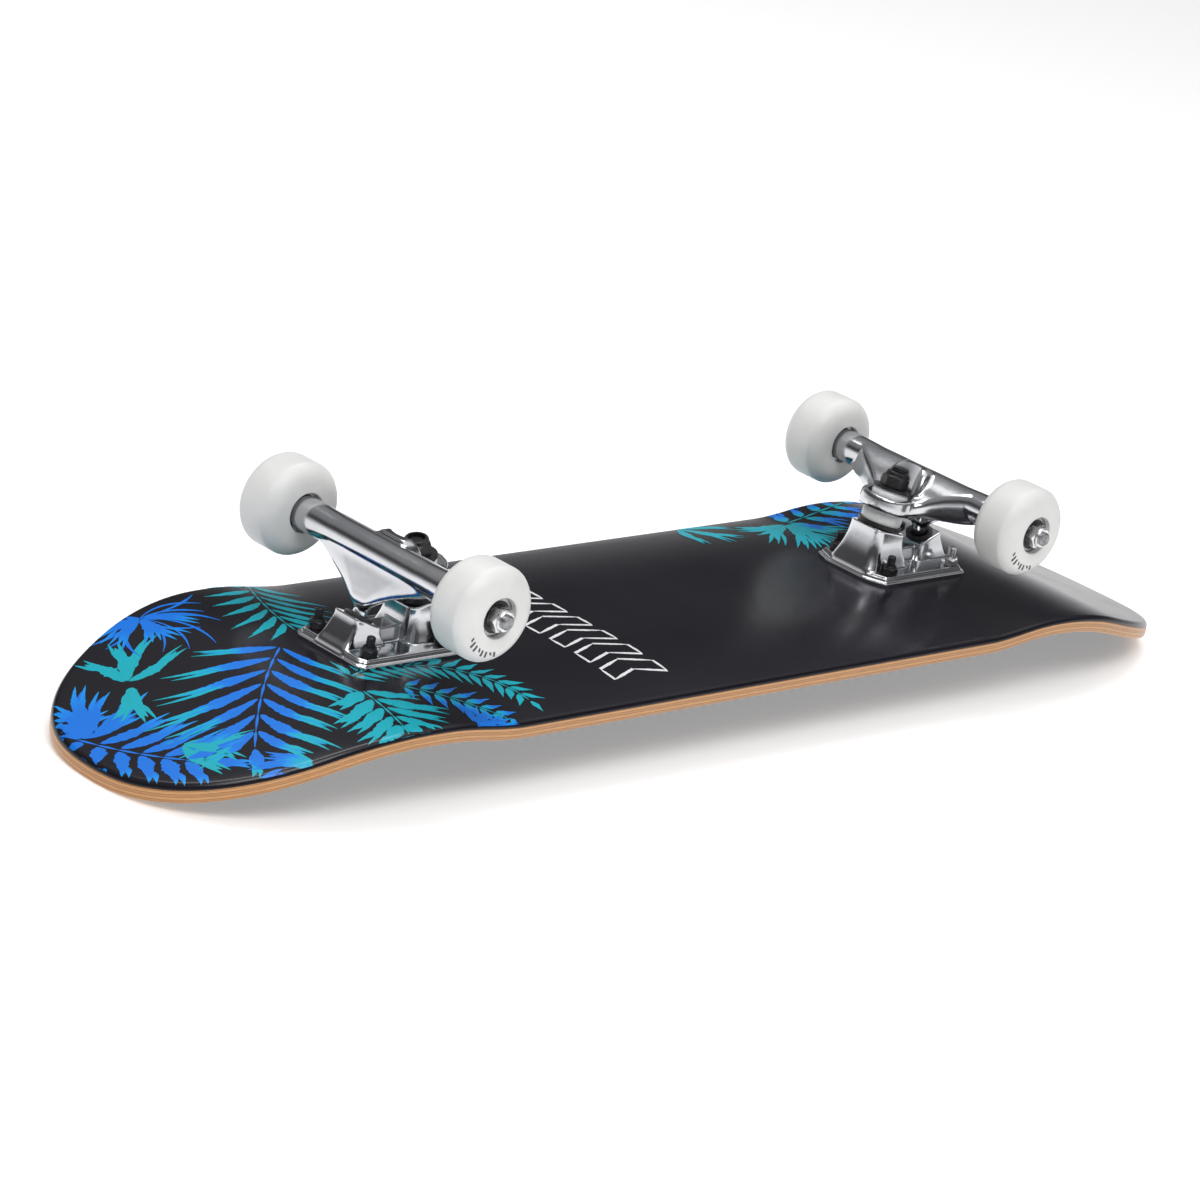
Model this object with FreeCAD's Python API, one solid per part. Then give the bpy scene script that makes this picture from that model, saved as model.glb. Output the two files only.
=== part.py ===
"""Full-size complete skateboard, lying upside down on its nose and tail with the wheels up.

Row frame, millimetres: +X towards the nose, +Z up, origin on the floor under the middle of the deck.
Left and right are the rider's, facing the nose: the rider's left is the -Y side of this upside-down board.
Each truck is modelled in its own frame (u outwards along the board, Y across, Z away from the deck, origin on
the printed face at the middle of its four bolts), and is then placed at the nose, or turned round for the tail.
"""

import FreeCAD
import Part
import math
import os

# ---- deck: seven-ply maple, pressed with a concave and two kicks -------------------------------------------
DECK_WIDTH = 197.0            # 7.75 in
DECK_THICKNESS = 10.5         # seven plies
WHEELBASE = 355.6             # 14 in between the inner bolts
BOLT_SPACING_X = 54.0         # along the board
BOLT_SPACING_Y = 41.3         # across it
NOSE_LENGTH = 175.0           # outer bolts to the tip
TAIL_LENGTH = 161.4
DECK_LENGTH = NOSE_LENGTH + TAIL_LENGTH + WHEELBASE + 2 * BOLT_SPACING_X
GRIP_HEIGHT = 38.3            # floor to the flat of the grip side, which the kicks hold up
FLAT_HALF_WIDTH = 30.0        # flat strip along the middle of the concave
CONCAVE = 6.0                 # how far the rails drop between the trucks
KICK_CONCAVE = 1.2            # what is left of it on the kicks
CONCAVE_END = 186.0           # from here the concave fades
CONCAVE_FADED = 242.0         # to here
NOSE_KICK_START = 246.0       # where the kick starts to bend, from the middle of the wheelbase
TAIL_KICK_START = 250.0
NOSE_KICK_RADIUS = 205.0      # grip side
TAIL_KICK_RADIUS = 185.0
NOSE_TAPER_START = 232.0      # where the plan outline leaves the straight rails, from the middle of the wheelbase
TAIL_TAPER_START = 232.0
NOSE_ROUNDNESS = 2.55         # exponent of the plan outline's end: 2 is an ellipse, more is squarer
TAIL_ROUNDNESS = 2.35
EDGE_ROUND = 3.0
BLANK_MARGIN = 4.0            # the pressed blank is this much larger than the outline all round
PLAIN_HALF_LENGTH = 170.0     # the concave is the same all along this much each way from the middle
STATION_PITCH = 9.6           # between the blank's sections
TAPE_THICKNESS = 0.6
TAPE_INSET = 6.5              # the tape stops short of the rounded edge, so the board rests on wood
TAPE_HOLE_RADIUS = 5.2

# ---- deck hardware -----------------------------------------------------------------------------------------
BOLT_RADIUS = 2.4             # M5
BOLT_HOLE_RADIUS = 2.6
BOLT_HEAD_RADIUS = 4.6
BOLT_HEAD_DEPTH = 2.6
BOLT_TIP = 16.2               # above the printed face
HEX_KEY = 3.2                 # across flats of the socket in the head
BOLT_NUT_FLATS = 8.4
BOLT_NUT_HEIGHT = 5.6

# ---- baseplate ---------------------------------------------------------------------------------------------
PLATE_INNER_END = -41.0
PLATE_OUTER_END = 37.0
PLATE_HALF_WIDTH = 27.5
PLATE_THICKNESS = 5.0
INNER_CHAMFER = (5.0, 11.0)   # along, across
OUTER_CHAMFER = (3.0, 4.0)
PEDESTAL_U = -22.0            # middle of the kingpin pedestal's foot
PEDESTAL_FOOT = (17.5, 17.5, 7.0)     # half size along and across, and corner
PEDESTAL_TOP = (12.6, 12.6, 7.0)
HOUSING_U = 21.5              # middle of the pivot housing's foot
HOUSING_FOOT = (15.0, 12.5, 3.0)
HOUSING_MOUTH = (9.0, 8.6, 3.6)
WEB_FOOT = (14.0, 10.0, 2.0)  # the low bridge between pedestal and housing
WEB_TOP = (13.0, 6.5, 2.0)
WEB_HEIGHT = 13.0
NUT_ROOM = 1.2                # all round a deck nut, for a spanner

# ---- kingpin stack, heights along the kingpin from the seat of the bottom washer ----------------------------
KINGPIN_SEAT = (-20.3, 26.6)  # u, z of the seat on the pedestal
KINGPIN_TILT = 12.5           # degrees from vertical, leaning outwards
KINGPIN_RADIUS = 4.7
KINGPIN_HEAD_RADIUS = 6.2
KINGPIN_HEAD_SEAT = -17.0
KINGPIN_HEAD_HEIGHT = 5.5
KINGPIN_TIP = 32.0
BOTTOM_WASHER_RADIUS = 13.2
WASHER_THICKNESS = 1.5
CUP_RIM_HEIGHT = 3.0
RING_BOTTOM = 10.5
RING_TOP = 18.5
RING_RADIUS = 16.5
RING_BORE_RADIUS = 6.6
BUSHING_SEAT_RADIUS = 8.8
BUSHING_SEAT_DEPTH = 1.6
BOTTOM_BUSHING_RADIUS = 12.2
TOP_BUSHING_RADIUS = 11.0
TOP_BUSHING_NARROW = 9.6
TOP_WASHER_SEAT = 22.8
TOP_WASHER_RADIUS = 11.3
KINGPIN_NUT_FLATS = 14.3
KINGPIN_NUT_HEIGHT = 9.5

# ---- pivot -------------------------------------------------------------------------------------------------
CUP_MOUTH = (19.0, 18.0)      # u, z of the middle of the pivot cup's mouth
CUP_TILT = 20.0               # degrees from vertical, its mouth facing inwards
PIVOT_DEPTH = 4.5             # mouth to the middle of the pivot ball
PIVOT_BALL_RADIUS = 5.0
PIVOT_NECK_RADIUS = 4.1
PIVOT_CLEARANCE = 0.06
CUP_RADIUS = 7.0
CUP_FLANGE_RADIUS = 8.0
CUP_FLANGE = 1.6
CUP_FLOOR = 1.5               # under the pivot ball

# ---- hanger, axle, wheels and bearings ----------------------------------------------------------------------
AXLE_U = 9.4
AXLE_Z = 52.0
AXLE_RADIUS = 3.97            # 5/16 in
AXLE_HALF_LENGTH = 98.4
HANGER_HALF_WIDTH = 63.5      # 5.0 in
HANGER_TUBE_RADIUS = 9.5
FIN_SECTIONS = (              # u, z, half size along and across, corner; from the pivot up to the axle tube
    (15.9, 28.5, 5.2, 8.5, 2.0), (13.5, 36.0, 6.0, 17.0, 2.5), (11.4, 43.0, 6.8, 31.0, 3.0),
    (9.4, 49.5, 7.8, 50.0, 3.0))
FIN_ROOT = (4.6, 5.2, 1.5)    # where it meets the pivot neck
YOKE_SECTIONS = (             # u, z from the ring's middle, half size, corner; out to the axle tube
    (6.0, -1.0, 3.6, 15.0, 2.0), (15.0, 2.0, 5.5, 21.0, 2.5), (24.6, 7.7, 6.0, 46.0, 3.0))
GUSSET_SECTIONS = (           # u, z, half height and width, corner; from the fin in to the ring
    (17.4, 24.5, 2.5, 4.6, 1.2), (4.0, 38.0, 9.0, 6.5, 2.0), (-4.0, 42.0, 5.5, 8.0, 2.0))
SCOOP_RADIUS = 13.4           # room over the ring for the top washer and the kingpin nut
SPEED_WASHER = (6.0, 4.1, 1.0)    # outer radius, inner radius, thickness
BEARING_RADIUS = 11.0         # 608: 22 x 8 x 7 mm
BEARING_BORE = 4.0
BEARING_WIDTH = 7.0
BALL_RADIUS = 1.984
BALL_PITCH_RADIUS = 7.5
BALL_COUNT = 7
BALL_GROOVE_CLEARANCE = 0.03
INNER_RACE_RADIUS = 6.1
OUTER_RACE_BORE = 9.0
SHIELD_BORE = 6.3
SHIELD_THICKNESS = 0.5
SHIELD_DEPTH = 0.55           # bearing's face to the middle of the shield
CAGE_RADII = (8.4, 6.7)
CAGE_BACK = 2.6               # behind the middle of the balls
CAGE_FRONT = 0.4
CAGE_CLEARANCE = 0.06
SPACER_LENGTH = 10.0
SPACER_RADII = (5.2, 4.1)
WHEEL_RADIUS = 26.5
WHEEL_WIDTH = 30.0
TREAD_HALF_WIDTH = 7.0
WHEEL_MOUTH_RADIUS = 12.6     # of the recess that shows the bearing
WHEEL_LIP = 1.0
WHEEL_FACE_RADIUS = 16.5      # the cheek falls away outside this
CHEEK_MIDDLE = (22.05, 13.4)   # radius and height that the cheek's curve passes through
WHEEL_CORE_RADIUS = 9.0
AXLE_NUT_FLATS = 12.7
AXLE_NUT_HEIGHT = 6.6

# ---- derived places ------------------------------------------------------------------------------------------
PRINT_HEIGHT = GRIP_HEIGHT + DECK_THICKNESS
TAIL_TIP = -DECK_LENGTH / 2
NOSE_TIP = DECK_LENGTH / 2
NOSE_TRUCK = NOSE_TIP - NOSE_LENGTH - BOLT_SPACING_X / 2
TAIL_TRUCK = TAIL_TIP + TAIL_LENGTH + BOLT_SPACING_X / 2
MIDDLE = (NOSE_TRUCK + TAIL_TRUCK) / 2
BEARING_STACK = 2 * BEARING_WIDTH + SPACER_LENGTH
WHEEL_Y = HANGER_HALF_WIDTH + SPEED_WASHER[2] + BEARING_STACK / 2
BEARING_OFFSET = (BEARING_STACK - BEARING_WIDTH) / 2
AXLE_NUT_Y = HANGER_HALF_WIDTH + 2 * SPEED_WASHER[2] + BEARING_STACK
X, Y, Z = FreeCAD.Vector(1, 0, 0), FreeCAD.Vector(0, 1, 0), FreeCAD.Vector(0, 0, 1)


# ---- helpers ---------------------------------------------------------------------------------------------------
def vec(x, y, z):
    return FreeCAD.Vector(x, y, z)


def lean(degrees):
    """Unit vector in the u-z plane, tilted outwards from vertical."""
    return vec(math.sin(math.radians(degrees)), 0, math.cos(math.radians(degrees)))


def placed(shape, base, axis=Z):
    """A copy of a shape built up +Z from the origin, moved to base and turned so that its Z lies along axis."""
    copy = shape.copy()
    copy.Placement = FreeCAD.Placement(base, FreeCAD.Rotation(Z, axis)).multiply(copy.Placement)
    return copy


def rod(radius, low, high, base=vec(0, 0, 0), axis=Z):
    return Part.makeCylinder(radius, high - low, base + axis * low, axis)


def ring(outer, inner, low, high, base=vec(0, 0, 0), axis=Z):
    return rod(outer, low, high, base, axis).cut(rod(inner, low - 1, high + 1, base, axis))


def turned(points, base=vec(0, 0, 0), axis=Z):
    """A solid of revolution. Points are (radius, height) corners, or (radius, height, radius, height) for an
    arc's middle and end."""
    edges, here = [], None
    for p in list(points) + [points[0][-2:]]:
        end = vec(p[-2], 0, p[-1])
        if here is not None and (end - here).Length > 1e-6:
            if len(p) == 4:
                edges.append(Part.Arc(here, vec(p[0], 0, p[1]), end).toShape())
            else:
                edges.append(Part.LineSegment(here, end).toShape())
        here = end
    face = Part.Face(Part.Wire(edges))
    return placed(Part.Solid(face.revolve(vec(0, 0, 0), Z, 360)), base, axis)


def polygon(points):
    return Part.makePolygon([vec(*p) for p in points] + [vec(*points[0])])


def loft(wires, ruled=False):
    return Part.makeLoft(wires, True, ruled)


def hexagon(flats, height, base=vec(0, 0, 0), axis=Z):
    corner = flats / math.sqrt(3)
    points = [(corner * math.cos(math.radians(a)), corner * math.sin(math.radians(a)), 0) for a in range(0, 360, 60)]
    prism = Part.Face(polygon(points)).extrude(Z * height)
    return placed(prism, base, axis)


def lock_nut(flats, height, bore, base, axis):
    """A hexagon lock nut: a chamfered hexagon with a round collar that holds the nylon ring."""
    corner = flats / math.sqrt(3)
    collar = 0.25 * height
    body = hexagon(flats, height)
    cone = turned([(0, 0), (0.46 * flats, 0), (corner, 0.08 * height), (corner, 0.60 * height),
                   (0.47 * flats, height - collar), (0.45 * flats, height - 0.5), (0.42 * flats, height),
                   (0, height)])
    nut = body.common(cone).cut(rod(bore, -1, height + 1))
    return placed(nut, base, axis)


def smooth_step(t):
    t = min(1.0, max(0.0, t))
    return t * t * (3 - 2 * t)


def group(solids):
    return Part.makeCompound(solids)


# ---- deck and grip tape --------------------------------------------------------------------------------------
def lowest_point_lift(angle):
    """How much rounding the edge lifts the lowest point of a tip whose grip side slopes down at this angle."""
    return EDGE_ROUND * (math.tan(math.pi / 4 + angle / 2) - 1)


def kick_angle(length, radius):
    """The angle that brings the grip side down to the floor over length, after a bend of this radius."""
    angle = 0.3
    for _ in range(6):
        drop = GRIP_HEIGHT + lowest_point_lift(angle)
        angle = math.atan2(length, radius - drop) - math.acos(radius / math.hypot(length, radius - drop))
    return angle


def concave_at(distance):
    fade = smooth_step((distance - CONCAVE_END) / (CONCAVE_FADED - CONCAVE_END))
    return CONCAVE + (KICK_CONCAVE - CONCAVE) * fade


def deck_stations(end):
    """(x from the middle, z drop, slope) of the grip side's centreline and the concave there, towards one end."""
    nose = end > 0
    start = NOSE_KICK_START if nose else TAIL_KICK_START
    radius = NOSE_KICK_RADIUS if nose else TAIL_KICK_RADIUS
    length = (NOSE_TIP - MIDDLE if nose else MIDDLE - TAIL_TIP) - start
    angle = kick_angle(length, radius)
    bend = radius * angle
    straight = (length - radius * math.sin(angle)) / math.cos(angle) + BLANK_MARGIN
    stations = []
    for along in even_steps(start - PLAIN_HALF_LENGTH):
        x = PLAIN_HALF_LENGTH + along
        stations.append((x, 0.0, 0.0, concave_at(x)))
    for along in even_steps(bend)[1:]:
        a = along / radius
        stations.append((start + radius * math.sin(a), radius * (1 - math.cos(a)), a, KICK_CONCAVE))
    x0, z0 = stations[-1][:2]
    for along in even_steps(straight)[1:]:
        stations.append((x0 + along * math.cos(angle), z0 + along * math.sin(angle), angle, KICK_CONCAVE))
    return stations


def even_steps(length):
    """Distances from 0 to length, about one station pitch apart: a loft bulges where its sections are uneven."""
    count = round(length / STATION_PITCH)
    return [length * i / count for i in range(count + 1)]


def deck_section(end, station, low, high):
    """One closed section of the pressed blank, square to its centreline, from low to high above the grip side."""
    x, drop, slope, concave = station
    normal = vec(end * math.sin(slope), 0, math.cos(slope))
    centre = vec(MIDDLE + end * x, 0, GRIP_HEIGHT - drop)
    reach = DECK_WIDTH / 2 - FLAT_HALF_WIDTH
    curve = (reach * reach + concave * concave) / (2 * concave)      # radius of the concave, grip side
    spread = math.asin((reach + BLANK_MARGIN) / curve)

    def at(side, share, height):
        a = spread * share
        r = curve + height
        y = side * (FLAT_HALF_WIDTH + r * math.sin(a))
        return centre + Y * y + normal * (height - r * (1 - math.cos(a)))

    def rail(side, height, outwards):
        shares = (0, 0.5, 1) if outwards else (1, 0.5, 0)
        return Part.Arc(*[at(side, s, height) for s in shares]).toShape()

    def line(a, b):
        return Part.LineSegment(a, b).toShape()

    return Part.Wire([
        line(at(-1, 0, high), at(1, 0, high)), rail(1, high, True), line(at(1, 1, high), at(1, 1, low)),
        rail(1, low, False), line(at(1, 0, low), at(-1, 0, low)), rail(-1, low, True),
        line(at(-1, 1, low), at(-1, 1, high)), rail(-1, high, False)])


def pressed_blank(low, high):
    """The bent sheet between two heights above the grip side, before its outline is cut."""
    parts = []
    for end in (1, -1):
        parts.append(loft([deck_section(end, s, low, high) for s in deck_stations(end)]))
    tail_first = deck_section(-1, deck_stations(-1)[0], low, high)
    middle = Part.Face(tail_first).extrude(X * 2 * PLAIN_HALF_LENGTH)
    return middle.fuse(parts)


def outline(inset=0.0):
    """The deck's plan outline: straight rails, and ends that follow a superellipse."""
    half = DECK_WIDTH / 2 - inset
    steps = 28

    def end_curve(tip, start, power):
        """From the -Y rail round the tip to the +Y rail."""
        points = []
        for i in range(steps + 1):
            a = math.pi * i / steps - math.pi / 2
            along = abs(math.cos(a)) ** (2 / power)
            across = math.copysign(abs(math.sin(a)) ** (2 / power), a)
            points.append(vec(start + (tip - start) * along, half * across, 0))
        curve = Part.BSplineCurve()
        curve.interpolate(points, InitialTangent=X * math.copysign(1, tip), FinalTangent=X * -math.copysign(1, tip))
        return curve.toShape()

    nose_start, tail_start = MIDDLE + NOSE_TAPER_START, MIDDLE - TAIL_TAPER_START
    nose = end_curve(NOSE_TIP - inset, nose_start, NOSE_ROUNDNESS)
    tail = end_curve(TAIL_TIP + inset, tail_start, TAIL_ROUNDNESS)
    rails = [Part.LineSegment(vec(tail_start, s * half, 0), vec(nose_start, s * half, 0)).toShape() for s in (-1, 1)]
    wire = Part.Wire(Part.__sortEdges__([nose, tail] + rails))
    return Part.Face(wire).extrude(Z * 2 * PRINT_HEIGHT).translated(Z * (-PRINT_HEIGHT / 2))


def bolt_places():
    """(x, y) of the eight bolts."""
    return [(truck + sx * BOLT_SPACING_X / 2, sy * BOLT_SPACING_Y / 2)
            for truck in (TAIL_TRUCK, NOSE_TRUCK) for sx in (-1, 1) for sy in (-1, 1)]


def deck():
    board = pressed_blank(0.0, DECK_THICKNESS).common(outline())
    rims = [e for e in board.Edges if on_outline(e)]
    board = board.makeFillet(EDGE_ROUND, rims)
    for x, y in bolt_places():
        countersink = turned([(0, -1), (BOLT_HEAD_RADIUS + 0.2, -1), (BOLT_HEAD_RADIUS + 0.2, 0.3),
                              (BOLT_HOLE_RADIUS, BOLT_HEAD_DEPTH + 0.2), (BOLT_HOLE_RADIUS, 2 * DECK_THICKNESS),
                              (0, 2 * DECK_THICKNESS)], vec(x, y, GRIP_HEIGHT))
        board = board.cut(countersink)
    return board


def on_outline(edge):
    """Is this edge of the cut board between its wall and one of its broad faces?"""
    points = edge.discretize(5)
    steep = max(abs(edge.tangentAt(edge.FirstParameter + t * (edge.LastParameter - edge.FirstParameter)).z)
                for t in (0.1, 0.5, 0.9))
    if steep > 0.9:
        return False
    return all(is_on_wall(p) for p in points)


def is_on_wall(point):
    half = DECK_WIDTH / 2
    near_nose = point.x > MIDDLE
    start = NOSE_TAPER_START if near_nose else TAIL_TAPER_START
    power = NOSE_ROUNDNESS if near_nose else TAIL_ROUNDNESS
    tip = NOSE_TIP - MIDDLE if near_nose else MIDDLE - TAIL_TIP
    along = max(0.0, (abs(point.x - MIDDLE) - start) / (tip - start))
    return along ** power + (abs(point.y) / half) ** power > 0.985


def grip_tape():
    tape = pressed_blank(-TAPE_THICKNESS, 0.0).common(outline(TAPE_INSET))
    for x, y in bolt_places():
        tape = tape.cut(rod(TAPE_HOLE_RADIUS, 0, PRINT_HEIGHT, vec(x, y, 0)))
    return tape


def deck_bolt(x, y):
    """A countersunk socket bolt, its head in the grip side and its tip above the nut."""
    tip = DECK_THICKNESS + BOLT_TIP
    bolt = turned([(0, 0), (BOLT_HEAD_RADIUS, 0), (BOLT_RADIUS, BOLT_HEAD_DEPTH), (BOLT_RADIUS, tip - 0.6),
                   (BOLT_RADIUS - 0.6, tip), (0, tip)])
    bolt = bolt.cut(hexagon(HEX_KEY, 2.0, vec(0, 0, -0.5)))
    return placed(bolt, vec(x, y, GRIP_HEIGHT))


def deck_nut(x, y):
    base = vec(x, y, PRINT_HEIGHT + PLATE_THICKNESS)
    return lock_nut(BOLT_NUT_FLATS, BOLT_NUT_HEIGHT, BOLT_RADIUS, base, Z)


# ---- truck, in its own frame -----------------------------------------------------------------------------------
KINGPIN = lean(KINGPIN_TILT)
SEAT = vec(KINGPIN_SEAT[0], 0, KINGPIN_SEAT[1])
CUP_AXIS = lean(-CUP_TILT)
MOUTH = vec(CUP_MOUTH[0], 0, CUP_MOUTH[1])
BALL = MOUTH - CUP_AXIS * PIVOT_DEPTH
RING_CENTRE = SEAT + KINGPIN * ((RING_BOTTOM + RING_TOP) / 2)
AXLE = vec(AXLE_U, 0, AXLE_Z)


def octagon(centre, axis, along, across, corner):
    """A chamfered rectangle square to axis. Along lies in the u-z plane."""
    v = axis.cross(Y) * -1
    points = []
    for a, b in ((along, across - corner), (along - corner, across), (corner - along, across),
                 (-along, across - corner), (-along, corner - across), (corner - along, -across),
                 (along - corner, -across), (along, corner - across)):
        points.append(centre + v * a + Y * b)
    return Part.makePolygon(points + points[:1])


def baseplate():
    ix, iy = INNER_CHAMFER
    ox, oy = OUTER_CHAMFER
    w, a, b = PLATE_HALF_WIDTH, PLATE_INNER_END, PLATE_OUTER_END
    foot = polygon([(a, iy - w, 0), (a + ix, -w, 0), (b - ox, -w, 0), (b, oy - w, 0),
                    (b, w - oy, 0), (b - ox, w, 0), (a + ix, w, 0), (a, w - iy, 0)])
    plate = Part.Face(foot).extrude(Z * PLATE_THICKNESS)
    up = PLATE_THICKNESS - 1
    pedestal = loft([octagon(vec(PEDESTAL_U, 0, up), Z, *PEDESTAL_FOOT),
                     octagon(SEAT, KINGPIN, *PEDESTAL_TOP)], ruled=True)
    housing = loft([octagon(vec(HOUSING_U, 0, up), Z, *HOUSING_FOOT),
                    octagon(MOUTH, CUP_AXIS, *HOUSING_MOUTH)], ruled=True)
    web = loft([octagon(vec(0, 0, up), Z, *WEB_FOOT),
                octagon(vec(0, 0, WEB_HEIGHT), Z, *WEB_TOP)], ruled=True)
    plate = plate.fuse([pedestal, housing, web])
    below = -2 * KINGPIN_SEAT[1]
    plate = plate.cut(rod(KINGPIN_RADIUS, below, 1, SEAT, KINGPIN))
    plate = plate.cut(rod(KINGPIN_HEAD_RADIUS + 0.2, below, KINGPIN_HEAD_SEAT, SEAT, KINGPIN))
    plate = plate.cut(pivot_cup_body())
    for sx in (-1, 1):
        for sy in (-1, 1):
            at = vec(sx * BOLT_SPACING_X / 2, sy * BOLT_SPACING_Y / 2, 0)
            plate = plate.cut(rod(BOLT_HOLE_RADIUS + 0.15, -1, PLATE_THICKNESS + 1, at))
            plate = plate.cut(rod(BOLT_NUT_FLATS / 2 + NUT_ROOM, PLATE_THICKNESS, CUP_MOUTH[1] * 2, at))
    return plate


def pivot_cup_body():
    """The solid that the pivot cup fills in the baseplate, flange included."""
    bottom = -(PIVOT_DEPTH + PIVOT_BALL_RADIUS + CUP_FLOOR)
    return turned([(0, bottom), (CUP_RADIUS - 2.2, bottom), (CUP_RADIUS, bottom + 2.2), (CUP_RADIUS, 0),
                   (CUP_FLANGE_RADIUS, 0), (CUP_FLANGE_RADIUS, CUP_FLANGE), (0, CUP_FLANGE)], MOUTH, CUP_AXIS)


def pivot_cup():
    bore = PIVOT_BALL_RADIUS + PIVOT_CLEARANCE
    low = -PIVOT_DEPTH
    half = bore * math.sqrt(0.5)
    space = turned([(0, low - bore), (half, low - half, bore, low), (bore, CUP_FLANGE - 0.8),
                    (bore + 1.2, CUP_FLANGE + 0.01), (0, CUP_FLANGE + 0.01)], MOUTH, CUP_AXIS)
    return pivot_cup_body().cut(space)


def kingpin():
    top = KINGPIN_HEAD_SEAT
    return turned([(0, top - KINGPIN_HEAD_HEIGHT), (KINGPIN_HEAD_RADIUS - 0.6, top - KINGPIN_HEAD_HEIGHT),
                   (KINGPIN_HEAD_RADIUS, top - KINGPIN_HEAD_HEIGHT + 0.6), (KINGPIN_HEAD_RADIUS, top),
                   (KINGPIN_RADIUS, top), (KINGPIN_RADIUS, KINGPIN_TIP - 0.8), (KINGPIN_RADIUS - 0.8, KINGPIN_TIP),
                   (0, KINGPIN_TIP)], SEAT, KINGPIN)


def kingpin_nut():
    base = SEAT + KINGPIN * (TOP_WASHER_SEAT + WASHER_THICKNESS)
    return lock_nut(KINGPIN_NUT_FLATS, KINGPIN_NUT_HEIGHT, KINGPIN_RADIUS, base, KINGPIN)


def bottom_washer():
    r, t = BOTTOM_WASHER_RADIUS, WASHER_THICKNESS
    return turned([(KINGPIN_RADIUS + 0.1, 0), (r - 0.6, 0), (r, 0.6), (r, CUP_RIM_HEIGHT), (r - 0.8, CUP_RIM_HEIGHT),
                   (r - 1.0, t), (KINGPIN_RADIUS + 0.1, t)], SEAT, KINGPIN)


def top_washer():
    low, high = TOP_WASHER_SEAT, TOP_WASHER_SEAT + WASHER_THICKNESS
    return ring(TOP_WASHER_RADIUS, KINGPIN_RADIUS + 0.1, low, high, SEAT, KINGPIN)


def bottom_bushing():
    """A barrel with a neck that sits in the hanger's ring."""
    low, high, r = WASHER_THICKNESS, RING_BOTTOM, BOTTOM_BUSHING_RADIUS
    bore = KINGPIN_RADIUS + 0.1
    neck = BUSHING_SEAT_RADIUS - 0.1
    return turned([(bore, low), (r - 1.0, low), (r, (low + high) / 2, r - 0.6, high), (neck, high),
                   (neck, high + BUSHING_SEAT_DEPTH), (bore, high + BUSHING_SEAT_DEPTH)], SEAT, KINGPIN)


def top_bushing():
    low, high = RING_TOP, TOP_WASHER_SEAT
    bore = KINGPIN_RADIUS + 0.1
    neck = BUSHING_SEAT_RADIUS - 0.1
    return turned([(bore, low - BUSHING_SEAT_DEPTH), (neck, low - BUSHING_SEAT_DEPTH), (neck, low),
                   (TOP_BUSHING_RADIUS, low), (TOP_BUSHING_RADIUS, low + 1.6), (TOP_BUSHING_NARROW, high),
                   (bore, high)], SEAT, KINGPIN)


def hanger():
    """The cast hanger: axle tube, fin down to the pivot ball, ring for the bushings and the yoke between."""
    tube = rod(HANGER_TUBE_RADIUS, -HANGER_HALF_WIDTH, HANGER_HALF_WIDTH, AXLE, Y)
    neck_top = MOUTH + CUP_AXIS * PIVOT_DEPTH
    neck = rod(PIVOT_NECK_RADIUS, 0, 2 * PIVOT_DEPTH + FIN_ROOT[2], BALL, CUP_AXIS)
    ball = Part.makeSphere(PIVOT_BALL_RADIUS, BALL)
    fin = loft([octagon(neck_top, Z, *FIN_ROOT)] + [octagon(vec(u, 0, z), Z, *size) for u, z, *size in FIN_SECTIONS],
               ruled=True)
    eye = rod(RING_RADIUS, RING_BOTTOM, RING_TOP, SEAT, KINGPIN)
    yoke_axis = lean(90 - KINGPIN_TILT / 2)
    yoke = loft([octagon(RING_CENTRE + vec(u, 0, z), yoke_axis, *size) for u, z, *size in YOKE_SECTIONS], ruled=True)
    gusset = loft([octagon(vec(u, 0, z), X, *size) for u, z, *size in GUSSET_SECTIONS], ruled=True)
    body = tube.fuse([fin, eye, yoke, gusset, neck, ball])
    return body.cut(group([
        rod(RING_BORE_RADIUS, RING_BOTTOM - 5, RING_TOP + 5, SEAT, KINGPIN),
        rod(BUSHING_SEAT_RADIUS, RING_BOTTOM - 5, RING_BOTTOM + BUSHING_SEAT_DEPTH, SEAT, KINGPIN),
        rod(BUSHING_SEAT_RADIUS, RING_TOP - BUSHING_SEAT_DEPTH, RING_TOP + 5, SEAT, KINGPIN),
        rod(SCOOP_RADIUS, RING_TOP, 2 * KINGPIN_TIP, SEAT, KINGPIN),
        rod(AXLE_RADIUS, -HANGER_HALF_WIDTH - 1, HANGER_HALF_WIDTH + 1, AXLE, Y)]))


def axle():
    e, r = AXLE_HALF_LENGTH, AXLE_RADIUS
    return turned([(0, -e), (r - 0.8, -e), (r, 0.8 - e), (r, e - 0.8), (r - 0.8, e), (0, e)], AXLE, Y)


def speed_washers():
    outer, inner, t = SPEED_WASHER
    starts = [HANGER_HALF_WIDTH, AXLE_NUT_Y - t, -HANGER_HALF_WIDTH - t, -AXLE_NUT_Y]
    return group([ring(outer, inner, s, s + t, AXLE, Y) for s in starts])


def axle_nuts():
    return group([lock_nut(AXLE_NUT_FLATS, AXLE_NUT_HEIGHT, AXLE_RADIUS, AXLE + Y * (side * AXLE_NUT_Y), Y * side)
                  for side in (-1, 1)])


def bearing_places():
    """Middle of each of the two bearings of a wheel, along the wheel's axis."""
    return (-BEARING_OFFSET, BEARING_OFFSET)


def groove(y):
    r = BALL_RADIUS + BALL_GROOVE_CLEARANCE
    return Part.makeTorus(BALL_PITCH_RADIUS, r, vec(0, y, 0), Y)


def inner_races():
    """The four inner races of a truck, which stay still on the axle."""
    races = []
    for side in (-1, 1):
        for b in bearing_places():
            race = ring(INNER_RACE_RADIUS, BEARING_BORE, b - BEARING_WIDTH / 2, b + BEARING_WIDTH / 2, vec(0, 0, 0), Y)
            races.append(race.cut(groove(b)).translated(AXLE + Y * (side * WHEEL_Y)))
    return group(races)


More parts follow.
